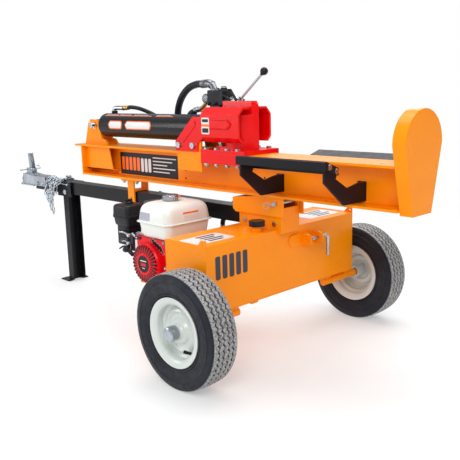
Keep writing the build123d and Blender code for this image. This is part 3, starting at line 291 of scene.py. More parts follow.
def ramp(tree, value, stops):
    """Colour ramp over a value; stops are (position, colour)."""
    node = add(tree, "ValToRGB", {"Fac": value})
    while len(node.color_ramp.elements) < len(stops):
        node.color_ramp.elements.new(0.5)
    for element, (position, colour) in zip(node.color_ramp.elements, stops):
        element.position = position
        element.color = (*colour, 1)
    return node.outputs["Color"]


def spotted(tree, scale, dark, light):
    """Noise between two colours."""
    return ramp(tree, noise(tree, scale), ((0.3, dark), (0.7, light)))


def between(tree, value, start, end, low=0.0, high=1.0):
    """Map the start to end range of a value to a low to high range."""
    inputs = {"From Min": start, "From Max": end, "To Min": low, "To Max": high, "Value": value}
    return add(tree, "MapRange", inputs).outputs["Result"]


def blended(tree, share, first, second):
    """Mix of two colours."""
    inputs = {"Factor": share, "A": first, "B": second}
    return add(tree, "Mix", inputs, data_type="RGBA").outputs["Result"]


def bumped(tree, height, distance, normal=None):
    """Normal of a relief, on top of another one if given."""
    inputs = {"Height": height, "Distance": distance}
    if normal:
        inputs["Normal"] = normal
    return add(tree, "Bump", inputs).outputs["Normal"]


def math_node(tree, operation, first, second=None):
    """Result of one arithmetic step."""
    inputs = {0: first}
    if second is not None:
        inputs[1] = second
    return add(tree, "Math", inputs, operation=operation).outputs[0]


def spread(tree, value, low, high):
    """Map a 0.3 to 0.7 noise value to a low to high range."""
    return between(tree, value, 0.3, 0.7, low, high)


def shade(colour, factor):
    """A lighter or darker colour."""
    return tuple(min(1.0, c * factor) for c in colour)


def edge_mask(tree, width):
    """Rounded normal, and a value that is 1 along edges and 0 on flat areas."""
    bevel = add(tree, "Bevel", {"Radius": width}, samples=6).outputs["Normal"]
    true_normal = add(tree, "NewGeometry").outputs["Normal"]
    dot = add(tree, "VectorMath", {0: bevel, 1: true_normal}, operation="DOT_PRODUCT")
    return bevel, between(tree, dot.outputs["Value"], 0.93, 0.60)


def surface(name, colour, metallic=0.0, rough=(0.3, 0.4), vary=0.10, grain=600.0, bump=0.00004,
            stretch=(1, 1, 1), coat=0.0, worn=None, edge=0.0012, shine=0.5):
    """Base material: mottled colour, uneven roughness, fine bump, rounded edges lightened partly as wear and
    partly as a painted highlight.
    """
    material, tree, shader = nodes_of(name)
    base = spotted(tree, 9.0, shade(colour, 1 - vary), shade(colour, 1 + vary))
    normal = None
    if edge:
        normal, mask = edge_mask(tree, edge)
    # Edges are blended in patches toward a paler colour: partly wear, partly a painted highlight.
    if edge and worn:
        patchy = math_node(tree, "MULTIPLY", mask, spread(tree, noise(tree, 70.0), 0.0, 0.8))
        base = blended(tree, patchy, base, (*worn, 1))
    feed(tree, shader, {
        "Base Color": base,
        "Roughness": spread(tree, noise(tree, 45.0), *rough),
        "Metallic": metallic,
        "Specular IOR Level": shine,
        "Coat Weight": coat,
        "Coat Roughness": 0.08,
        "Normal": bumped(tree, noise(tree, grain, 2.0, stretch), bump, normal),
    })
    return material


def paint(name, colour, **extra):
    """Powder coat with slight orange peel."""
    # By default the edges pale toward half as light again: partly wear, partly a painted highlight.
    settings = {"rough": (0.26, 0.38), "vary": 0.06, "grain": 420.0, "bump": 0.00003, "coat": 0.35,
                "worn": shade(colour, 1.5)}
    settings.update(extra)
    return surface(name, colour, **settings)


def printed(name, colour, rough, vary, **extra):
    """Smooth film of a label or a printed bar."""
    return surface(name, colour, 0.0, rough, vary, 900.0, 0.00001, edge=0, **extra)


def hose_rubber():
    """Black hose cover with the wrapped-fabric pattern of hydraulic hose."""
    material, tree, shader = nodes_of("hose_rubber")
    inputs = {"Scale": 260.0, "Distortion": 1.2, "Vector": places(tree)}
    wrap = add(tree, "TexWave", inputs, bands_direction="DIAGONAL").outputs["Fac"]
    feed(tree, shader, {
        "Base Color": spotted(tree, 60.0, (0.008, 0.010, 0.014), (0.018, 0.021, 0.028)),
        "Roughness": spread(tree, noise(tree, 80.0), 0.36, 0.55),
        "Specular IOR Level": 0.22,
        "Normal": bumped(tree, wrap, 0.0002),
    })
    return material


def tyre_rubber(side):
    """Rubber pale on the rib tops from dust and a painted highlight, dark in the grooves, with fine rings on
    the wall.
    """
    material, tree, shader = nodes_of(f"tyre_rubber_{side}")
    split = add(tree, "SeparateXYZ", {0: places(tree)})
    from_axle = {axis: math_node(tree, "SUBTRACT", split.outputs[axis], centre)
                 for axis, centre in (("X", AXLE.x), ("Z", AXLE.z))}
    offset = add(tree, "CombineXYZ", from_axle).outputs[0]
    radius = add(tree, "VectorMath", {0: offset}, operation="LENGTH").outputs["Value"]
    wall = spotted(tree, 25.0, (0.005, 0.007, 0.012), (0.013, 0.016, 0.026))
    # Rib tops above the grooves turn pale grey: partly dust, partly a painted highlight.
    dust_and_highlight = ramp(tree, noise(tree, 160.0), ((0.35, (0.12, 0.12, 0.13)), (0.65, (0.42, 0.42, 0.41))))
    rings = math_node(tree, "SINE", math_node(tree, "MULTIPLY", radius, 1500.0))
    feed(tree, shader, {
        "Base Color": blended(tree, between(tree, radius, 0.2035, 0.2062), wall, dust_and_highlight),
        "Roughness": spread(tree, noise(tree, 60.0), 0.36, 0.56),
        "Specular IOR Level": 0.28,
        "Normal": bumped(tree, noise(tree, 350.0, 3.0), 0.0003, bumped(tree, rings, 0.0003)),
    })
    return material


ORANGE = paint("orange_paint", (1.0, 0.285, 0.001), coat=0.06, shine=0.16, vary=0.04)
# The red's pale pink edges are a painted highlight along the pressed bends, with some wear.
RED = paint("red_paint", (0.80, 0.0010, 0.0020), coat=0.22, rough=(0.18, 0.28), worn=(0.95, 0.30, 0.32),
            shine=0.18)
BLACK = paint("black_paint", (0.008, 0.008, 0.011), worn=(0.08, 0.08, 0.10), rough=(0.36, 0.48), coat=0.0,
              shine=0.18)
# The tongue and leg get pale edges: a painted highlight, with some wear.
TONGUE_BLACK = paint("tongue_paint", (0.005, 0.005, 0.007), worn=(0.14, 0.14, 0.16), rough=(0.30, 0.40),
                     coat=0.14, shine=0.15, edge=0.002)
BARREL = paint("barrel_paint", (0.006, 0.006, 0.009), coat=0.10, rough=(0.25, 0.35), vary=0.03, shine=0.22,
               edge=0)
WHITE = paint("rim_paint", (0.62, 0.66, 0.63), rough=(0.28, 0.38), worn=(0.85, 0.87, 0.84))
CREAM = paint("cream_paint", (0.80, 0.83, 0.78), rough=(0.2, 0.28), vary=0.015, worn=(0.92, 0.9, 0.85),
              coat=0.15, shine=0.3)
ENGINE_RED = paint("engine_red", (0.74, 0.001, 0.008), coat=0.16, rough=(0.22, 0.34), shine=0.18)
ZINC = surface("zinc_plate", (0.46, 0.50, 0.54), 1.0, (0.20, 0.40), 0.30, 900.0, 0.00003)
STEEL = surface("brushed_steel", (0.46, 0.47, 0.48), 1.0, (0.26, 0.42), 0.08, 300.0, 0.00003, (1, 1, 14))
LEVER_STEEL = surface("lever_steel", (0.42, 0.48, 0.55), 0.0, (0.2, 0.32), 0.06, 700.0, 0.00001)
CHROME = surface("chrome", (0.38, 0.39, 0.42), 1.0, (0.14, 0.28), 0.25, 700.0, 0.00001)
DULL_CHROME = surface("dull_chrome", (0.20, 0.205, 0.22), 1.0, (0.20, 0.35), 0.30, 700.0, 0.00001)
ALLOY = surface("cast_alloy", (0.34, 0.35, 0.36), 0.9, (0.42, 0.62), 0.12, 800.0, 0.00016)
DARK_ALLOY = surface("dark_alloy", (0.075, 0.075, 0.082), 0.7, (0.35, 0.55), 0.3, 800.0, 0.00012)
IRON = surface("cast_iron", (0.016, 0.017, 0.021), 0.1, (0.35, 0.55), 0.2, 700.0, 0.00018, shine=0.2)
BRASS = surface("brass", (0.62, 0.42, 0.15), 1.0, (0.2, 0.36), 0.1)
HEATED = surface("heated_steel", (0.16, 0.14, 0.13), 0.9, (0.4, 0.6), 0.25, 500.0, 0.00006)
PLASTIC = surface("black_plastic", (0.010, 0.010, 0.013), 0.0, (0.32, 0.45), 0.12, 1500.0, 0.00004,
                  worn=(0.05, 0.05, 0.06), shine=0.25)
RUBBER = surface("black_rubber", (0.008, 0.008, 0.010), 0.0, (0.5, 0.7), 0.15, 500.0, 0.0001, shine=0.2)
LABEL_WHITE = printed("label_white", (0.74, 0.74, 0.74), (0.3, 0.42), 0.03)
LABEL_GREY = printed("label_grey", (0.40, 0.40, 0.47), (0.35, 0.45), 0.05)
LABEL_NAVY = printed("label_navy", (0.018, 0.020, 0.045), (0.3, 0.4), 0.1)
LABEL_BLACK = printed("label_black", (0.008, 0.007, 0.012), (0.3, 0.4), 0.1, shine=0.3)
# Pale pink for the rims round the louvres: a painted highlight of glints on the red cover.
LOUVRE_GLINT = printed("louvre_glint", (0.75, 0.30, 0.32), (0.2, 0.3), 0.1)
LABEL_ORANGE = printed("label_orange", (0.93, 0.17, 0.005), (0.3, 0.4), 0.04)
HOSE = hose_rubber()

CAD_MATERIALS = {
    ORANGE: ("hydraulic_tank", "pivot_bracket", "pivot_channel", "beam", "foot_plate", "saddle",
             "beam_brackets", "axle_stubs"),
    RED: ("stripper_left", "stripper_right", "slide_plate", "slide_keepers", "wedge"),
    TONGUE_BLACK: ("tongue_tube", "leg"),
    BLACK: ("cradle_left", "cradle_right", "cylinder_gland"),
    BARREL: ("cylinder_barrel",),
    WHITE: ("left_rim", "right_rim"),
    ZINC: ("left_hub_cap", "right_hub_cap", "vertical_lock_pin", "leg_lock_pin", "coupler_body",
           "coupler_lever", "frame_bolts", "pivot_pin", "saddle_pin", "cylinder_pin", "slide_bolts",
           "beam_bolts", "throttle_lever"),
    DARK_ALLOY: ("carburettor",),
    STEEL: ("left_bearings", "right_bearings", "crankshaft"),
    LEVER_STEEL: ("valve_lever",),
    CHROME: ("cylinder_rod", "valve_spool", "fuel_cap"),
    ALLOY: ("engine_block", "flywheel", "pump_adapter"),
    IRON: ("valve_body", "hydraulic_pump"),
    HEATED: ("muffler",),
    PLASTIC: ("filler_cap", "recoil_grip"),
    ENGINE_RED: ("engine_fan_cover",),
}


def dress_cad():
    """Give the CAD parts that stay visible their materials and smooth shading."""
    for material, names in CAD_MATERIALS.items():
        for name in names:
            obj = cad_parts[name]
            obj.data.materials.clear()
            obj.data.materials.append(material)
            soften(obj.data)


# ---------------------------------------------------------------- wheels

GROOVES = (-32.0, -11.0, 11.0, 32.0)        # middles of the tread grooves
GROOVE_HALF = 3.4
GROOVE_DEPTH = 8.0
ZIGZAG = (-1.0, -1.0, 0.0, 1.0, 1.0, 0.0)   # one wave of a groove, as shares of its reach
ZIGZAG_REACH = 3.2
ZIGZAG_COUNT = 58
# The wall from the bead to the tread: (offset from the middle, radius).
WALL = ((47, 104), (50, 127), (53, 130), (55.6, 133), (55.8, 136), (54.4, 137.5), (57.0, 145), (59.4, 153),
        (60.8, 162), (60.6, 172), (60.9, 174), (62.3, 176), (62.3, 178), (60.4, 180), (59.0, 188),
        (57.0, 196), (55.2, 199.5), (54.0, 199.8), (53.0, 203), (51.6, 205.4))
LINER = ((43, 190), (50, 175), (51, 158), (47, 140), (39, 104))     # inside of the wall

STEM_PLACE = (0.078, 0.020, -0.068)      # foot of the valve stem, in metres from the wheel's centre
STEM = ((0, 7.5), (4, 7.5), (6, 5.6), (14, 5.2), (34, 5.0), (34.5, 5.8), (44, 5.8), (45, 5.0), (45.5, 1.0))


def crown(t):
    """Tread radius at an offset across the tyre."""
    return 210.0 - 3.0 * (t / 50.0) ** 2


def tread_section(wave):
    """Points (offset, radius) across the tread for one step of the zigzag."""
    shift = ZIGZAG_REACH * wave
    points = [(-50.0, crown(50) - 0.3), (-48.5, crown(48))]
    for centre in GROOVES:
        left, right = centre - GROOVE_HALF + shift, centre + GROOVE_HALF + shift
        points += [(left - 0.8, crown(left)), (left, crown(left) - 0.9),
                   (left + 0.9, crown(left) - GROOVE_DEPTH), (right - 0.9, crown(right) - GROOVE_DEPTH),
                   (right, crown(right) - 0.9), (right + 0.8, crown(right))]
    return points + [(48.5, crown(48)), (50.0, crown(50) - 0.3)]


def tyre(side):
    """Ribbed tyre with zigzag grooves, stepped walls and an open bead."""
    low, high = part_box(f"{side}_tyre")
    centre = (low + high) / 2
    steps = ZIGZAG_COUNT * len(ZIGZAG)
    inside = [(t, r) for t, r in reversed(LINER)] + [(-t, r) for t, r in LINER]
    verts = []
    for k in range(steps):
        angle = 2 * math.pi * k / steps
        tread = tread_section(ZIGZAG[k % len(ZIGZAG)])
        section = [(-t, r) for t, r in WALL] + tread + list(reversed(WALL)) + inside
        for t, r in section:
            verts.append(centre + Vector((r * math.cos(angle), t, r * math.sin(angle))) * MM)
    obj = piece(f"{side}_ribbed_tyre", verts, ring_faces(steps, len(section), loop=True),
                tyre_rubber(side), f"{side}_wheel", f"{side}_tyre", 28)
    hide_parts(f"{side}_tyre")


def wheel_details(side):
    """Valve stem, hub collar and hub band on the outer face of a wheel."""
    out = -1 if side == "left" else 1
    centre = sum(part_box(f"{side}_tyre"), Vector()) / 2
    axis = Vector((0, out, 0))
    dx, dy, dz = STEM_PLACE
    stem = lathe(centre + Vector((dx, out * dy, dz)), axis * 0.7 + Vector((-0.55, 0, 0.30)), STEM, 24)
    piece(f"{side}_valve_stem", *stem, RUBBER, f"{side}_wheel", f"{side}_tyre")
    collar = lathe(centre, axis, ((30.5, 27.2), (32, 31), (35, 29), (39, 26.2), (40, 25.9)), 64)
    piece(f"{side}_hub_weld", *collar, WHITE, f"{side}_wheel", f"{side}_rim", 60)
    band = lathe(centre, axis, ((46, 25.8), (46, 26.8), (64, 26.8), (66, 26.4), (66, 25.8)), 64)
    piece(f"{side}_hub_band", *band, ZINC, f"{side}_wheel", f"{side}_hub_cap")


# ---------------------------------------------------------------- engine

TANK_GROW = (6.0, 8.0)      # the petrol tank's flange stands out: front and left, then rear and right
FUEL_SEAM = 66.0            # height of the flange above the tank's bottom


def tank_box():
    """Box of the petrol tank with its pressed flange."""
    box = box_mm("fuel_tank")
    near, far = TANK_GROW
    return Box(box.x0 - near, box.x1 + far, box.y0 - near, box.y1 + far, box.z0, box.z1)


def fuel_tank():
    """Pressed two-part petrol tank with a flange at the seam and a filler neck."""
    box = tank_box()
    seam = box.z0 + FUEL_SEAM
    lower = ((0, 60), (0, 34), (1.5, 26), (6, 19), (16, 14.5), (43, 10))
    upper = ((-4, 7), (-2.6, 7), (-2.6, 0.5), (-1.6, -1.5), (1.4, -1.5), (2.4, 0.5), (3, 6), (17, 7),
             (37, 9.5), (52, 13), (62, 18), (69, 25), (74, 34), (77.5, 46), (79.5, 60), (80.5, 76))
    rows = [(box.z0 + z, inset) for z, inset in lower] + [(seam + z, inset) for z, inset in upper]
    shape = stacked(rows, box.x0, box.x1, box.y0, box.y1, 38)
    obj = piece("fuel_tank_shell", *shape, CREAM, "chassis", "fuel_tank", 40)
    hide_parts("fuel_tank")
    cx, cy, _ = centre_of("fuel_cap")
    neck = lathe(at(cx, cy, box.z1 - 12), (0, 0, 1), ((0, 24), (6, 24), (8, 21), (12, 20)), 48)
    piece("fuel_neck", *neck, CREAM, "chassis", "fuel_tank")


def fuel_cap_ring():
    """Knurled band, orange tag and white plate of the petrol cap."""
    cx, cy, _ = centre_of("fuel_cap")
    cap = box_mm("fuel_cap")
    radius = (cap.x1 - cap.x0) / 2
    rows = ((cap.z0 + 1, 0.2), (cap.z0 + 2, 1.6), (cap.z1 - 6, 1.6), (cap.z1 - 5, 0.2))
    band = knurled(rows, radius, 96, lambda k: k % 4 < 2, 0.35, lambda u, v, w: at(cx + u, cy + v, w))
    piece("fuel_cap_knurl", *band, CHROME, "petrol_cap", "fuel_cap", 20)
    turn = math.radians(35)

    def on_rim(u, v, w):
        out = radius - 1 + w
        x = cx + out * math.cos(turn) - u * math.sin(turn)
        return at(x, cy + out * math.sin(turn) + u * math.cos(turn), v)
    for name, low, high, material in (("fuel_cap_tag", 9.0, 0.5, LABEL_ORANGE),
                                      ("fuel_cap_plate", 2.5, 11.0, LABEL_WHITE)):
        outline = rounded_rect(-11, 11, cap.z0 + low, cap.z1 - high, 2.0)
        piece(name, *slab(outline, on_rim, 4.0), material, "petrol_cap", "fuel_cap")


def air_cleaner():
    """Air cleaner box and cover with a duct below and a wing knob on top."""
    box = box_mm("air_cleaner_base")
    tub = (box.x0 - 3, box.x1 + 3, box.y0 - 3, box.y1 + 3, 15)
    foot, low, seam, top = 374.0, 458.5, 498.0, 550.0
    rows = [(seam, 14), (seam, 1), (seam + 1, 0), (seam + 4, 0), (seam + 5.5, 1.6), (top - 14, 3),
            (top - 8, 4.5), (top - 3.5, 8), (top - 1, 13), (top, 20), (top + 1, 34)]
    cover = piece("air_cleaner_shell", *stacked(rows, *tub), PLASTIC, "chassis", "air_cleaner_cover", 40)
    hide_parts("air_cleaner_cover")
    rows = [(low, 30), (low, 12), (low + 2, 9), (low + 8, 7), (seam - 7, 4), (seam - 5.5, 0.5),
            (seam - 0.8, 0.5), (seam - 0.4, 14)]
    duct_rows = [(foot, 10), (foot, 2), (foot + 4, 0), (low, 0), (low, 10)]
    duct = stacked(duct_rows, box.x0 + 4, box.x1 - 24, box.y0 + 14, box.y1 - 8, 14)
    base = piece("air_cleaner_box", *joined([stacked(rows, *tub), duct]), PLASTIC, "chassis",
                 "air_cleaner_base", 40)
    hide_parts("air_cleaner_base")
    cx, cy, _ = centre_of("air_cleaner_base")
    wings = [lathe(at(cx, cy, top), (0, 0, 1), ((0, 19), (6, 19), (8, 15), (10, 9), (13, 8), (13.5, 2)), 32)]
    thick = 4.0
    for turn in (0, 60, 120):
        cos, sin = math.cos(math.radians(turn)), math.sin(math.radians(turn))

        def on_wing(u, v, w):
            side = w - thick / 2
            return at(cx + u * cos - side * sin, cy + u * sin + side * cos, top + v)
        wings.append(slab(rounded_rect(-16, 16, 7, 20, 5), on_wing, thick))
    piece("air_cleaner_wing_knob", *joined(wings), PLASTIC, "chassis", "air_cleaner_cover")


def recoil_cover():
    """Starter cover: shallow dish with a ring of radial slots filled with painted shade, and a black centre
    with plain bars.
    """
    box = box_mm("recoil_housing")
    cx, _, cz = centre_of("recoil_housing")
    outer, front = (box.x1 - box.x0) / 2, box.y0
    slots, per = 30, 6
    sides = slots * per
    profile = [(outer - 1, box.y1), (outer, box.y1 - 1), (outer, front + 17), (outer - 2.5, front + 12),
               (outer - 6, front + 8), (outer - 10, front + 5), (48, front + 1), (45, front + 0.6),
               (40, front), (36, front), (35, front + 2)]
    sunk_rows, sunk_steps, sunk_depth = (5, 6), (1, 2, 3), 7.0
    verts = []
    for row, (r, y) in enumerate(profile):
        for k in range(sides):
            a = 2 * math.pi * k / sides
            sunk = sunk_depth if row in sunk_rows and k % per in sunk_steps else 0.0
            verts.append(at(cx + r * math.cos(a), y + sunk, cz + r * math.sin(a)))
    obj = piece("recoil_cover", verts, ring_faces(len(profile), sides), ENGINE_RED, "chassis",
                "recoil_housing", 24)
    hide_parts("recoil_housing")
    # Black bars sit in the sunk slots and stand for their dark openings: painted shade.
    half_width = math.radians(360 / slots * 0.24)
    bars = []
    for k in range(slots):
        a = 2 * math.pi * (k + 0.33) / slots
        ends = ((47, -half_width), (outer - 9, -half_width), (outer - 9, half_width), (47, half_width))
        points = [(cx + r * math.cos(a + spin), cz + r * math.sin(a + spin)) for r, spin in ends]
        bars.append(slab(points, lambda u, v, w: at(u, front + 2.4 + w, v), 4.0, 0.3))
    piece("recoil_slots", *joined(bars), LABEL_BLACK, "chassis", "recoil_housing")
    disc = ((0, 36), (2.6, 36), (3.4, 35), (3.4, 31), (2.6, 30), (2.8, 12), (3.0, 1))
    piece("recoil_centre", *lathe(at(cx, front + 3, cz), (0, -1, 0), disc, 64), PLASTIC, "chassis",
          "recoil_housing")

    def bar(x0, x1, z0, z1, corner):
        outline = rounded_rect(x0, x1, z0, z1, corner)
        return slab(outline, lambda u, v, w: at(cx + u, front + 0.2 - w, cz + v), 0.7, 0.2)
    white = joined([bar(-20, 20, 11, 15, 1.5), bar(-9, 9, -19, -16, 1.2)])
    piece("recoil_centre_white_bars", *white, LABEL_WHITE, "chassis", "recoil_housing")
    piece("recoil_centre_red_bar", *bar(-17, 17, -9, 4, 3), ENGINE_RED, "chassis", "recoil_housing")


def fan_cover_details():
    """Louvres as black slabs of painted shade with painted-highlight rims, blank label, switch and screws on
    the red fan cover.
    """
    box = box_mm("engine_fan_cover")
    node = "engine_fan_cover"

    def facing(proud):
        return lambda u, v, w: at(u, box.y0 - proud + 0.4 - w * 0.999, v)
    # Black slabs stand for the louvres' openings, as painted shade; the wider pale rims beneath them are a
    # painted highlight.
    louvres, glint_lips = [], []
    for k in range(5):
        x, z = -440 + 15.0 * k, 424 - 7.5 * k
        for shapes, grow, depth in ((louvres, 0.0, 1.6), (glint_lips, 2.0, 0.9)):
            outline = rounded_rect(-19 - grow, 19 + grow, -3.6 - grow, 3.6 + grow, 3.0)
            turned = [(x + 0.52 * u + 0.85 * v, z - 0.85 * u + 0.52 * v) for u, v in outline]
            shapes.append(slab(turned, facing(0.0), depth, 0.2))
    piece("fan_cover_louvre_glints", *joined(glint_lips), LOUVRE_GLINT, "chassis", node)
    piece("fan_cover_louvres", *joined(louvres), LABEL_BLACK, "chassis", node)
    x, z = box.x0, box.z1
    plates = (
        ("fan_cover_label", rounded_rect(x + 4, x + 18, z - 66, z - 20, 3), 0.0, 1.4, 0.3, LABEL_WHITE),
        ("engine_switch", rounded_rect(x + 6, x + 46, z - 15, z - 3, 4), 0.0, 4.0, 0.8, PLASTIC),
        ("engine_switch_toggle", rounded_rect(x + 12, x + 24, z - 12, z - 6, 2), 3.4, 2.4, 0.5, LABEL_GREY),
    )
    for name, outline, proud, depth, chamfer, material in plates:
        piece(name, *slab(outline, facing(proud), depth, chamfer), material, "chassis", node)
    head = ((0, 7), (1.5, 7), (2, 5.5), (6, 5.2), (6.5, 4))
    spots = (box.x0 + 12, box.z0 + 100), (box.x1 - 12, box.z0 + 96), (box.x1 - 14, box.z1 - 10)
    screws = [lathe(at(x, box.y0, z), (0, -1, 0), head, 12) for x, z in spots]
    piece("fan_cover_screws", *joined(screws), ZINC, "chassis", "frame_bolts")


def control_linkage():
    """Levers, sediment cup and governor rods beside the carburettor."""
    x0, x1, y0, _, z0, z1 = box_mm("carburettor")
    arms = ((20, z1 - 2, 58, 9, 4.6, ZINC), (8, z1 - 22, 44, -10, 4.0, DARK_ALLOY),
            (16, z1 - 38, 38, 6, 3.4, ZINC), (10, z1 - 54, 52, -14, 5.0, PLASTIC))
    for number, (dx, z, length, rise, r, material) in enumerate(arms, 1):
        start = at(x0 + dx, y0 - 3, z)
        end = at(x0 + dx - length, y0 - 13, z + rise)
        middle = (start + end) / 2 + Vector((0, -0.004, 0.006))
        arm = tube(smooth_path([start, middle, end], 4), lambda share: r * (1.0 - 0.3 * share), 12)
        boss = lathe(start, (0, -1, 0), ((-4, 3), (-4, 9), (6, 9), (7, 7.5), (10, 7), (10.5, 2)), 18)
        piece(f"carburettor_lever_{number}", *joined([arm, boss]), material, "chassis", "throttle_lever")
    cup = ((-13, 1), (-12, 6), (-8, 11), (-2, 14), (4, 13), (9, 9), (12, 3))
    ball = lathe(at(x0 - 6, y0 - 8, z0 + 4), (0, 0, 1), cup, 24)
    piece("fuel_sediment_cup", *ball, PLASTIC, "chassis", "air_cleaner_base")
    rods = []
    for shift in (0, 14, 28):
        path = line(((x1 - 4, y0 - 4, z1 + 4 + shift * 0.4), (x1 + 30, y0 - 10, z1 + 16 + shift * 0.3),
                     (x1 + 62, y0 - 6, z1 + 10 + shift * 0.2)), 10)
        rods.append(tube(path, 1.6, 8))
    piece("governor_rods", *joined(rods), STEEL, "chassis", "throttle_lever")


# ---------------------------------------------------------------- hoses and fittings

CRIMP = ((0.12, 1), (0.15, 0.93), (0.28, 0.93), (0.31, 1), (0.42, 1), (0.45, 0.93), (0.55, 0.93), (0.58, 0.8),
         (0.62, 0.8))
FITTING_NUT = ((0.62, 0.95), (0.65, 1.12), (0.9, 1.12), (0.93, 0.95), (1, 0.9))


def fitting(name, start, end, body, material, r):
    """Crimped ferrule and hex nut between two points in millimetres."""
    start, end = at(*start), at(*end)
    axis = end - start
    length = axis.length / MM
    crimp = [(0, r * 0.86), (1, r)] + [(length * along, r * wide) for along, wide in CRIMP]
    nut = [(length * along, r * wide) for along, wide in FITTING_NUT]
    shape = joined([lathe(start, axis, crimp, 32), lathe(start, axis, nut, 6)])
    return piece(name, *shape, material, body, "frame_bolts", 25)


def hose(name, points, r, body=None):
    """Rubber hose through points given in millimetres."""
    return piece(name, *tube(line(points, 9), r, 20), HOSE, body, "beam_hoses", 60)


def hoses():
    """Hoses with their fittings; the two that cross the tilt joint are attached to no body."""
    pressure = hose("pressure_hose", PRESSURE_LINE, 11)
    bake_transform(pressure)
    back = hose("return_hose", RETURN_LINE, 15.5)
    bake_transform(back)
    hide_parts("chassis_hoses", "beam_hoses")
    hose("suction_hose", SUCTION_LINE, 17, "chassis")
    hose("cylinder_rear_hose", REAR_LINE, 9.5, "beam_frame")
    elbow = tube(line(ELBOW_LINE, 8), lambda share: 18.5 if share < 0.45 else 15.5, 28)
    piece("valve_elbow", *elbow, DULL_CHROME, "beam_frame", "valve_spool", 40)
    nut = lathe(at(-400, 35, 1016), (0.42, -0.16, -0.9), ((0, 14), (0, 20), (11, 20), (13, 16)), 6)
    piece("valve_elbow_nut", *nut, DULL_CHROME, "beam_frame", "valve_spool", 25)
    union = tube([at(-513, 58, 940), at(-490, 54, 950), at(-462, 48, 970)], 9.5, 20)
    piece("pressure_union", *union, BRASS, "beam_frame", "valve_spool", 40)
    port = tube(line(PORT_LINE, 6), 10.5, 24)
    piece("rear_port_elbow", *port, CHROME, "beam_frame", "valve_spool", 40)
    for name, start, end, body, material, r in FITTINGS:
        fitting(name, start, end, body, material, r)


PRESSURE_LINE = (
    (-458, 116, 420), (-452, 117, 450), (-400, 116, 520), (-280, 104, 566), (-140, 94, 572), (-84, 92, 580),
    (-60, 104, 632), (-90, 120, 690), (-200, 124, 700), (-480, 120, 722), (-600, 114, 762), (-652, 104, 830),
    (-640, 92, 890), (-604, 76, 920), (-552, 62, 935),
)
RETURN_LINE = (
    (-123, 189, 506), (-121, 186, 540), (-104, 166, 578), (-84, 150, 630), (-120, 142, 690),
    (-300, 148, 700), (-520, 146, 712), (-640, 132, 746), (-696, 112, 800), (-704, 92, 860),
    (-690, 76, 925), (-650, 64, 985), (-590, 55, 1028), (-530, 49, 1045), (-484, 47, 1046),
)
SUCTION_LINE = ((-396, 92, 320), (-340, 94, 316), (-260, 120, 304), (-208, 126, 300))
ELBOW_LINE = ((-452, 45, 1047), (-436, 44, 1046), (-418, 42, 1038), (-404, 38, 1022), (-394, 34, 1004))
PORT_LINE = ((-1105, 20, 929), (-1105, 20, 939), (-1096, 22, 945), (-1070, 26, 945), (-1044, 29, 944))
FITTINGS = (
    ("return_fitting", (-488, 47, 1046), (-450, 45, 1047), "beam_frame", DULL_CHROME, 18),
    ("pressure_fitting", (-556, 62, 935), (-512, 58, 940), "beam_frame", ZINC, 13),
    ("rear_hose_fitting", (-1000, 30, 947), (-1046, 29, 944), "beam_frame", BRASS, 12),
    ("pump_fitting", (-456, 117, 426), (-460, 116, 396), "chassis", ZINC, 13),
    ("tank_return_fitting", (-122, 189, 514), (-125, 190, 490), "chassis", ZINC, 15),
)
REAR_LINE = (
    (-1002, 30, 947), (-975, 32, 948), (-930, 46, 940), (-875, 72, 916), (-800, 94, 880), (-700, 100, 850),
    (-600, 96, 862), (-520, 88, 900), (-450, 80, 950), (-418, 68, 968),
)


# ---------------------------------------------------------------- beam, valve and labels

def barrel_patch(x0, x1, a0, a1, lift=0.5, corner=0.0):
    """(verts, faces) of a thin curved panel on the cylinder; angles are degrees above the near side."""
    count, steps = 24, 18
    middle = (a0 + a1) / 2
    verts = []
    for k in range(count + 1):
        x = x0 + (x1 - x0) * k / count
        end = min(x - x0, x1 - x)
        pinch = 0.0
        if corner and end < corner:
            pinch = 1 - math.sqrt(max(0.0, 1 - (1 - end / corner) ** 2))
        half = (a1 - a0) / 2 * (1 - 0.86 * pinch)
        for r, order in ((BARREL_R + lift, range(steps + 1)), (BARREL_R - 0.2, range(steps, -1, -1))):
            for s in order:
                a = math.radians(middle - half + 2 * half * s / steps)
                verts.append(at(x, -r * math.cos(a), CYL_Z + r * math.sin(a)))
    return verts, ring_faces(count + 1, 2 * (steps + 1))


def cylinder_stripes():
    """Plain stripes and two framed bars on the cylinder barrel."""
    start = box_mm("cylinder_barrel").x0 + 110
    kinds = (
        ("stripe_orange", LABEL_ORANGE, ((4, 370, 54, 58), (400, 520, 54, 58))),
        ("stripe_silver", LABEL_GREY, ((14, 110, 61, 66), (124, 215, 61, 66), (232, 340, 61, 66),
                                       (402, 500, 61, 65))),
        ("bar_rims", LABEL_ORANGE, ((62, 172, -14, 26, 0.4, 16), (196, 392, -14, 26, 0.4, 16))),
        ("bars", LABEL_WHITE, ((69, 165, -9, 21, 0.8, 12), (203, 385, -9, 21, 0.8, 12))),
    )
    for name, material, patches in kinds:
        shapes = [barrel_patch(start + x0, start + x1, *rest) for x0, x1, *rest in patches]
        piece(f"cylinder_{name}", *joined(shapes), material, "beam_frame", "cylinder_barrel")


def near_label(name, node, face, ground, outline, inks):
    """Panel facing the near side, with plain shapes on it; shapes are (x0, x1, z0, z1, corner)."""
    def panels(shapes, y, depth):
        return joined([slab(rounded_rect(*shape), lambda u, v, w: at(u, y - w, v), depth, depth * 0.3)
                       for shape in shapes])
    piece(f"{name}_panel", *panels([outline], face, LABEL_DEPTH), ground, "beam_frame", node)
    for ending, material, shapes in inks:
        bars = panels(shapes, face - LABEL_DEPTH, INK_DEPTH)
        piece(f"{name}_{ending}", *bars, material, "beam_frame", node)


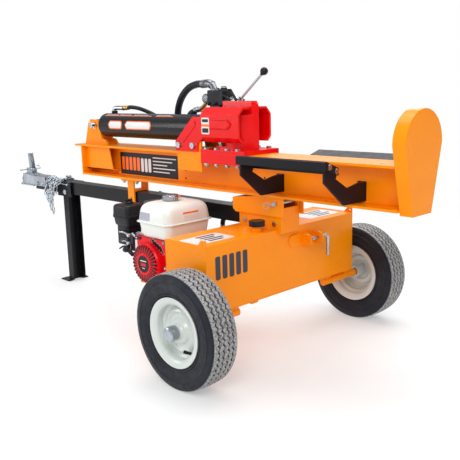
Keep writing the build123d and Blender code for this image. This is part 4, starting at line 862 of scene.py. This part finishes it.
def web_label():
    """Black panel with plain orange and white bars on the beam's web."""
    orange = [(x, x + 22, 650, 714, 6) for x in (-1032, -1002, -972, -942, -912)]
    white = [(x, x + 20, 648, 712, 6) for x in (-880, -852, -824)]
    for length, z in ((168, 716), (140, 700), (104, 684), (162, 668), (120, 652)):
        white.append((-790, -790 + length, z, z + 5, 2))
    inks = (("orange_bars", LABEL_ORANGE, orange), ("white_bars", LABEL_WHITE, white))
    near_label("web_label", "beam", WEB_FACE, LABEL_BLACK, (-1045, -611, 629, 735, 5), inks)


def tank_labels():
    """Pale panels with dark bars on top of the hydraulic tank, and dark bars on its rear face."""
    def on_top(lift):
        return lambda u, v, w: at(u, v, TANK_TOP + lift + w)
    for name, low, high in (("near", -424, -236), ("far", 200, 400)):
        panel = slab(rounded_rect(-130, -20, low, high, 14), on_top(0), LABEL_DEPTH, 0.3)
        piece(f"tank_label_{name}", *panel, LABEL_WHITE, "chassis", "hydraulic_tank")
        bars = []
        for k in range(4):
            outline = rounded_rect(-118 + 24 * k, -106 + 24 * k, low + 70, high - 24 - 22 * (k % 2), 3)
            bars.append(slab(outline, on_top(LABEL_DEPTH), INK_DEPTH, 0.15))
        piece(f"tank_label_{name}_bars", *joined(bars), LABEL_NAVY, "chassis", "hydraulic_tank")
    bars = []
    for k in range(5):
        low = -386 + 34.5 * k
        outline = rounded_rect(low, low + 24, 360, 446, 7)
        bars.append(slab(outline, lambda u, v, w: at(TANK_REAR + w, u, v), LABEL_DEPTH, 0.25))
    piece("tank_rear_bars", *joined(bars), LABEL_NAVY, "chassis", "hydraulic_tank")


def pin_clip():
    """Wire clip through the end of the beam's pivot pin."""
    points = [at(30, -81, 586)]
    for k in range(17):
        a = math.radians(60 + 280 * k / 16)
        points.append(at(-9 + 13 * math.cos(a), -80 + 2 * math.sin(a), 584 + 12 * math.sin(a)))
    points.append(at(30, -78, 590))
    piece("pivot_pin_clip", *tube(smooth_path(points, 3), 1.5, 10), ZINC, "chassis", "pivot_pin", 60)


def stripper_ribs():
    """Pressed rib along the outer face of each stripper shell."""
    outline = ((-296, 870), (-296, 900), (-292, 904), (-196, 904), (-178, 890), (-178, 880), (-196, 866),
               (-292, 866))
    root = 93.0
    for side, node in ((-1, "stripper_left"), (1, "stripper_right")):
        rib = slab(outline, lambda u, v, w: at(u, side * (root + w), v), 7.0, 5.0)
        piece(f"{node}_rib", *rib, RED, "beam_frame", node, 20)


def fuel_labels():
    """Orange bar and blank pale panel on the tank's rear face, grey panel on its near face."""
    box = tank_box()
    seam = box.z0 + FUEL_SEAM
    inset, lean = 6.6, 3.5 / 37         # how far the wall stands behind the flange, and its slope

    def on_rear(u, v, w):
        return at(box.x1 - inset - lean * (v - seam - 3) + w, u, v)

    def on_near(u, v, w):
        return at(u, box.y0 + inset + lean * (v - seam - 3) - w, v)
    plates = (("orange_bar", on_rear, -238, -156, 37, 43, 2.8, 2.0, LABEL_ORANGE),
              ("rear_label", on_rear, -232, -152, 8, 30, 3, 1.6, LABEL_WHITE),
              ("near_label", on_near, box.x0 + 34, box.x0 + 98, 8, 40, 3, 1.6, LABEL_GREY))
    for name, to_wall, start, end, low, high, corner, depth, material in plates:
        outline = rounded_rect(start, end, seam + low, seam + high, corner)
        piece(f"fuel_tank_{name}", *slab(outline, to_wall, depth, 0.3), material, "chassis", "fuel_tank")


def stripper_label():
    """Small pale panel with plain dark and orange bars on the near stripper shell."""
    inks = (("dark_bars", LABEL_BLACK, ((-341, -305, 894, 906, 3), (-341, -305, 852, 870, 3))),
            ("orange_bar", LABEL_ORANGE, ((-345, -301, 876, 886, 2),)))
    node = "stripper_left"
    near_label("stripper_label", node, box_mm(node).y0, LABEL_WHITE, (-346, -300, 846, 912, 6), inks)


def valve_details():
    """Knurled end cap, linkage plate, plug and nuts of the control valve."""
    box = box_mm("valve_body")
    rows = [(box.x0 + along, grow) for along, grow in (
        (-0.6, -3.0), (-0.8, 0.4), (1.5, 1.8), (30, 1.8), (32, 0.3), (34, 0.3), (34.5, 1.8), (37, 1.8),
        (37.5, 0.2))]
    cap = knurled(rows, 18, 72, lambda k: k % 3, 0.45, lambda u, v, w: at(w, SPOOL_Y + u, SPOOL_Z + v))
    piece("valve_detent_cap", *cap, DULL_CHROME, "beam_frame", "valve_spool", 20)
    strips = (((-356, 1014), (-356, 1023), (-284, 1023), (-288, 1014)),
              ((-296, 1020), (-284, 1023), (-250, 980), (-260, 976)),
              ((-356, 1018), (-346, 1018), (-346, 968), (-356, 968)),
              ((-350, 1002), (-350, 1010), (-262, 974), (-268, 968)))
    cheek = 19.5
    bracket = joined([slab(strip, lambda u, v, w: at(u, cheek - w, v), 4.0, 0.4) for strip in strips])
    piece("valve_bracket_plate", *bracket, BLACK, "beam_frame", "cylinder_gland")
    plug = lathe(at(-358, 49, box.z1 - 3), (0, 0, 1), ((0, 14), (3, 14), (4, 12), (10, 11), (10.5, 3)), 6)
    piece("valve_plug", *plug, ZINC, "beam_frame", "frame_bolts", 25)
    near = (0, -1, 0)
    nut = ((0, 7), (5, 7), (6, 5.5), (9, 4), (9.5, 2))
    nuts = [lathe(at(x, 15, 966), near, nut, 6) for x in (-412, -372)]
    piece("valve_tie_nuts", *joined(nuts), IRON, "beam_frame", "valve_body", 25)
    x, z = LEVER_PIVOT
    nut = lathe(at(x, 15.5, z), near, ((0, 11), (5, 11), (6.5, 9), (7, 6), (12, 6), (13, 4.5)), 6)
    piece("lever_pivot_nut", *nut, ZINC, "beam_frame", "frame_bolts", 25)


def lever_parts():
    """Black ball knob with its neck, and the rod's lock nut."""
    box = box_mm("valve_lever")
    x, z = LEVER_PIVOT
    foot = at(x, SPOOL_Y, z)
    tip = at(box.x1 - 15, SPOOL_Y, box.z1 - 15)
    axis = (tip - foot).normalized()
    radius = 15.6
    ball = [(-19, 6), (-17, 7.5), (-15, 8)]
    for a in map(math.radians, range(-55, 91, 9)):
        ball.append((radius * math.sin(a), radius * math.cos(a)))
    piece("lever_ball", *lathe(tip, axis, ball, 40), PLASTIC, "handle", "recoil_grip", 50)
    nut = lathe(foot + axis * 0.016, axis, ((0, 6), (1, 8.5), (9, 8.5), (10, 7)), 6)
    piece("lever_nut", *nut, ZINC, "handle", "valve_lever", 25)


def weld_beads(name, runs, radius, ripple, body, node):
    """Rippled beads along straight runs between two points in millimetres."""
    beads = []
    for start, end in runs:
        start, end = at(*start), at(*end)
        steps = max(8, int((end - start).length / 0.004))
        path = [start.lerp(end, k / steps) for k in range(steps + 1)]
        beads.append(tube(path, lambda s, n=steps: radius + ripple * math.sin(s * n * 2.1), 8))
    piece(name, *joined(beads), ORANGE, body, node, 70)


def beam_details():
    """Weld runs, web holes as discs of painted shade, and the front bolt of the beam."""
    foot, front = box_mm("foot_plate").x0, -1280
    runs = []
    for side in (-1, 1):
        runs.append(((foot, side * 4, 628), (foot, side * 4, 756)))
        runs.append(((foot, side * 4, 769), (foot, side * 74, 769)))
        runs += [((front, side * 4.5, z), (foot - 2, side * 4.5, z)) for z in (757, 627)]
        runs += [((-1298, side * lug, 769), (-1104, side * lug, 769)) for lug in (23, 35)]
    weld_beads("beam_weld_beads", runs, 2.3, 0.5, "beam_frame", "beam")
    near = (0, -1, 0)
    # Black discs stand for the holes' dark insides: painted shade.
    hole = ((-0.5, 4.6), (0.4, 4.6), (0.5, 4), (0.5, 1))
    holes = [lathe(at(x, WEB_FACE, z), near, hole, 20) for x in (-560, -86) for z in (676, 640)]
    piece("web_hole_shade_discs", *joined(holes), LABEL_BLACK, "beam_frame", "cylinder_gland")
    bolt = lathe(at(-1254, -4, 690), near, ((0, 15), (2, 15), (2.5, 10), (9, 9.5), (10, 7)), 24)
    piece("beam_front_bolt", *bolt, ZINC, "beam_frame", "beam_bolts", 25)


def beam_front_plates():
    """Upright plate, with a flat foot to the web, on each side of the beam's front end."""
    front, back_low, back_high, low, high = -1281.0, -1046.0, -1074.0, 646.0, 758.5
    out, thick = 50.0, 6.0
    upright = ((front, low), (back_low, low), (back_high, high), (front, high))
    foot = ((front, 4), (back_low, 4), (back_low, out), (front, out))
    for side, name in ((-1, "left"), (1, "right")):
        shapes = [slab(upright, lambda u, v, w: at(u, side * (out - w), v), thick, 0.8),
                  slab(foot, lambda u, v, w: at(u, side * v, low + w), thick, 0.8)]
        piece(f"beam_front_plate_{name}", *joined(shapes), ORANGE, "beam_frame", "beam", 25)


def tank_details():
    """Weld runs around the tank and its brackets."""
    runs = []
    for side in (-1, 1):
        runs += [((-194, side * 425, z), (24, side * 425, z)) for z in (238, 488)]
        runs += [((-178, side * y, 490), (24, side * y, 490)) for y in (32.5, 54.5)]
    runs.append(((25.5, -428, 239), (25.5, 428, 239)))
    weld_beads("tank_weld_beads", runs, 2.0, 0.4, "chassis", "hydraulic_tank")


# ---------------------------------------------------------------- chains and coupler

LINK_STRAIGHT, LINK_BOW, LINK_HALF, LINK_WIRE = 7.0, 8.5, 8.0, 4.0      # along, along, across, radius
LINK_PITCH = 0.0235         # metres
HOOK = ((0, 0), (-9, 0.3), (-10, 0.7), (0, 1), (11, 0.72), (8, 0.5))    # (offset, share of the drop)


def link(centre, along, across):
    """(verts, faces) of one oval chain link."""
    along = along.normalized()
    across = (across - along * across.dot(along)).normalized()
    path = []
    for k in range(20):
        a = 2 * math.pi * k / 20
        reach = math.copysign(LINK_STRAIGHT, math.cos(a)) + LINK_BOW * math.cos(a)
        path.append(centre + (along * reach + across * LINK_HALF * math.sin(a)) * MM)
    return tube(path, LINK_WIRE, 10, loop=True)


def chain(points):
    """Links laid nose to tail along a path, each turned a quarter from the last."""
    path = line(points, 24)
    links = []
    travelled, target = 0.0, 0.0
    for a, b in zip(path, path[1:]):
        step = (b - a).length
        while travelled + step >= target:
            share = (target - travelled) / step if step else 0.0
            tangent = b - a
            u, v = basis(tangent)
            turn = math.radians(90 * (len(links) % 2) + 35)
            links.append(link(a.lerp(b, share), tangent, u * math.cos(turn) + v * math.sin(turn)))
            target += LINK_PITCH
        travelled += step
    return joined(links)


def hook(tip, drop):
    """(verts, faces) of a spring hook hanging from a point."""
    x, y, z = tip
    body = tube(line([(x + dx, y, z - drop * share) for dx, share in HOOK], 8), lambda s: 4.6 - 1.6 * s, 12)
    gate = tube([at(x + 2, y, z - drop * 0.06), at(x + 8, y, z - drop * 0.5)], 1.8, 8)
    return joined([body, gate])


CHAINS = (
    ((-1574, -60, 548), (-1624, -40, 569), (-1669, -50, 560), (-1682, -64, 520), (-1678, -66, 470),
     (-1646, -66, 440), (-1624, -64, 470), (-1634, -62, 520), (-1650, -56, 552)),
    ((-1554, -30, 560), (-1604, -56, 556), (-1614, -68, 520), (-1622, -78, 474), (-1602, -78, 446)),
    ((-1566, -50, 558), (-1594, -66, 540), (-1624, -76, 500), (-1650, -76, 468), (-1670, -72, 500),
     (-1656, -60, 548), (-1624, -52, 566)),
    ((-1546, -40, 560), (-1574, -66, 532), (-1584, -80, 490), (-1598, -84, 452), (-1606, -84, 428)),
    ((-1584, 44, 560), (-1634, 50, 560), (-1672, 62, 530), (-1674, 66, 480), (-1640, 66, 446),
     (-1614, 64, 480), (-1624, 60, 530), (-1638, 46, 566)),
)


def safety_chains():
    """Bunched chains hung on the tongue, with three hooks."""
    bunch = joined([chain(points) for points in CHAINS])
    obj = piece("chain_bunch", *bunch, ZINC, "chassis", "safety_chains", 60)
    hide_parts("safety_chains")
    hooks = [hook((-1640, -66, 450), 62), hook((-1598, -78, 448), 74), hook((-1640, 66, 444), 66)]
    piece("chain_hooks", *joined(hooks), ZINC, "chassis", "safety_chains", 60)


# ---------------------------------------------------------------- stage, light and camera

VIEW = Vector((-0.7013, 0.6836, -0.2024)).normalized()
ROLL = math.radians(-1.483)
LENS = 53.45
SENSOR = 36.0
EYE = (1728.5, -1970.0, 1023.0)
FLOOR_SIZE = 14.0                   # metres from the middle to an edge
FLOOR_FADE = (1.2, 3.6, 0.35)       # the fade starts and ends at these distances, and starts at this share
MIDDLE = (0.2, 0, 0.6)              # what the lights point at
LIGHTS = (
    ("key", (3.2, -3.4, 3.4), (2.2, 2.2), 110),
    ("top", (0.0, 0.6, 4.2), (4.5, 2.5), 110),
    ("front_fill", (-3.0, -3.2, 1.8), (1.4, 2.0), 45),
    ("rim", (-1.5, 3.5, 2.6), (3.0, 1.5), 40),
)


def pale_floor():
    """Pale floor that fades into the plain background away from the object."""
    pale = surface("floor", (0.88, 0.88, 0.88), 0.0, (0.6, 0.7), 0.01, 60.0, 0.00001, edge=0)
    tree = pale.node_tree
    away = add(tree, "VectorMath", {0: places(tree)}, operation="LENGTH").outputs["Value"]
    fade = between(tree, away, *FLOOR_FADE)
    glow = add(tree, "Emission", {"Color": (1, 1, 1, 1)}).outputs[0]
    mix = add(tree, "MixShader", {0: fade, 1: tree.nodes["Principled BSDF"].outputs[0], 2: glow})
    feed(tree, tree.nodes["Material Output"], {"Surface": mix.outputs[0]})
    return pale


def floor():
    """Square of pale floor just below the wheels."""
    s = FLOOR_SIZE
    mesh = bpy.data.meshes.new("floor")
    mesh.from_pydata([(-s, -s, 0), (s, -s, 0), (s, s, 0), (-s, s, 0)], [], [(0, 1, 2, 3)])
    obj = bpy.data.objects.new("floor", mesh)
    bpy.context.scene.collection.objects.link(obj)
    obj.location.z = -0.0005
    mesh.materials.append(pale_floor())


def surroundings():
    """Plain white behind the object, and soft light that is strongest from above."""
    world = bpy.data.worlds.new("studio")
    world.use_nodes = True
    tree = world.node_tree
    plain = feed(tree, tree.nodes["Background"], {"Color": (1, 1, 1, 1), "Strength": 1.0})
    height = add(tree, "SeparateXYZ", {0: add(tree, "TexCoord").outputs["Generated"]}).outputs["Z"]
    stops = (0.0, (0.40, 0.40, 0.41)), (0.35, (0.62, 0.63, 0.65)), (1.0, (1.0, 1.0, 1.0))
    shades = ramp(tree, height, stops)
    soft = add(tree, "Background", {"Color": shades, "Strength": 0.8})
    seen = add(tree, "LightPath").outputs["Is Camera Ray"]
    mix = add(tree, "MixShader", {0: seen, 1: soft.outputs[0], 2: plain.outputs[0]})
    feed(tree, tree.nodes["World Output"], {"Surface": mix.outputs[0]})
    bpy.context.scene.world = world
    bpy.context.scene.view_settings.view_transform = "Standard"


def soft_light(name, place, size, power):
    """Rectangular lamp that points at the object."""
    light = bpy.data.lights.new(name, "AREA")
    light.shape = "RECTANGLE"
    light.size, light.size_y = size
    light.energy = power
    obj = bpy.data.objects.new(name, light)
    obj.location = place
    obj.rotation_euler = (Vector(MIDDLE) - Vector(place)).to_track_quat("-Z", "Y").to_euler()
    bpy.context.scene.collection.objects.link(obj)


def camera():
    """Camera at the photograph's place, turned along the view and rolled a little."""
    right = VIEW.cross(Vector((0, 0, 1))).normalized()
    up = right.cross(VIEW)
    rolled_right = right * math.cos(ROLL) + up * math.sin(ROLL)
    rolled_up = up * math.cos(ROLL) - right * math.sin(ROLL)
    lens = bpy.data.cameras.new("camera")
    lens.lens = LENS
    lens.sensor_width = SENSOR
    obj = bpy.data.objects.new("camera", lens)
    turn = Matrix((rolled_right, rolled_up, -VIEW)).transposed().to_4x4()
    obj.matrix_world = Matrix.Translation(at(*EYE)) @ turn
    bpy.context.scene.collection.objects.link(obj)
    bpy.context.scene.camera = obj


dress_cad()
for word in ("left", "right"):
    tyre(word)
    wheel_details(word)
fuel_tank()
fuel_cap_ring()
air_cleaner()
recoil_cover()
fan_cover_details()
control_linkage()
hoses()
cylinder_stripes()
web_label()
tank_labels()
pin_clip()
stripper_ribs()
fuel_labels()
stripper_label()
valve_details()
lever_parts()
beam_details()
beam_front_plates()
tank_details()
safety_chains()
floor()
surroundings()
for lamp in LIGHTS:
    soft_light(*lamp)
camera()
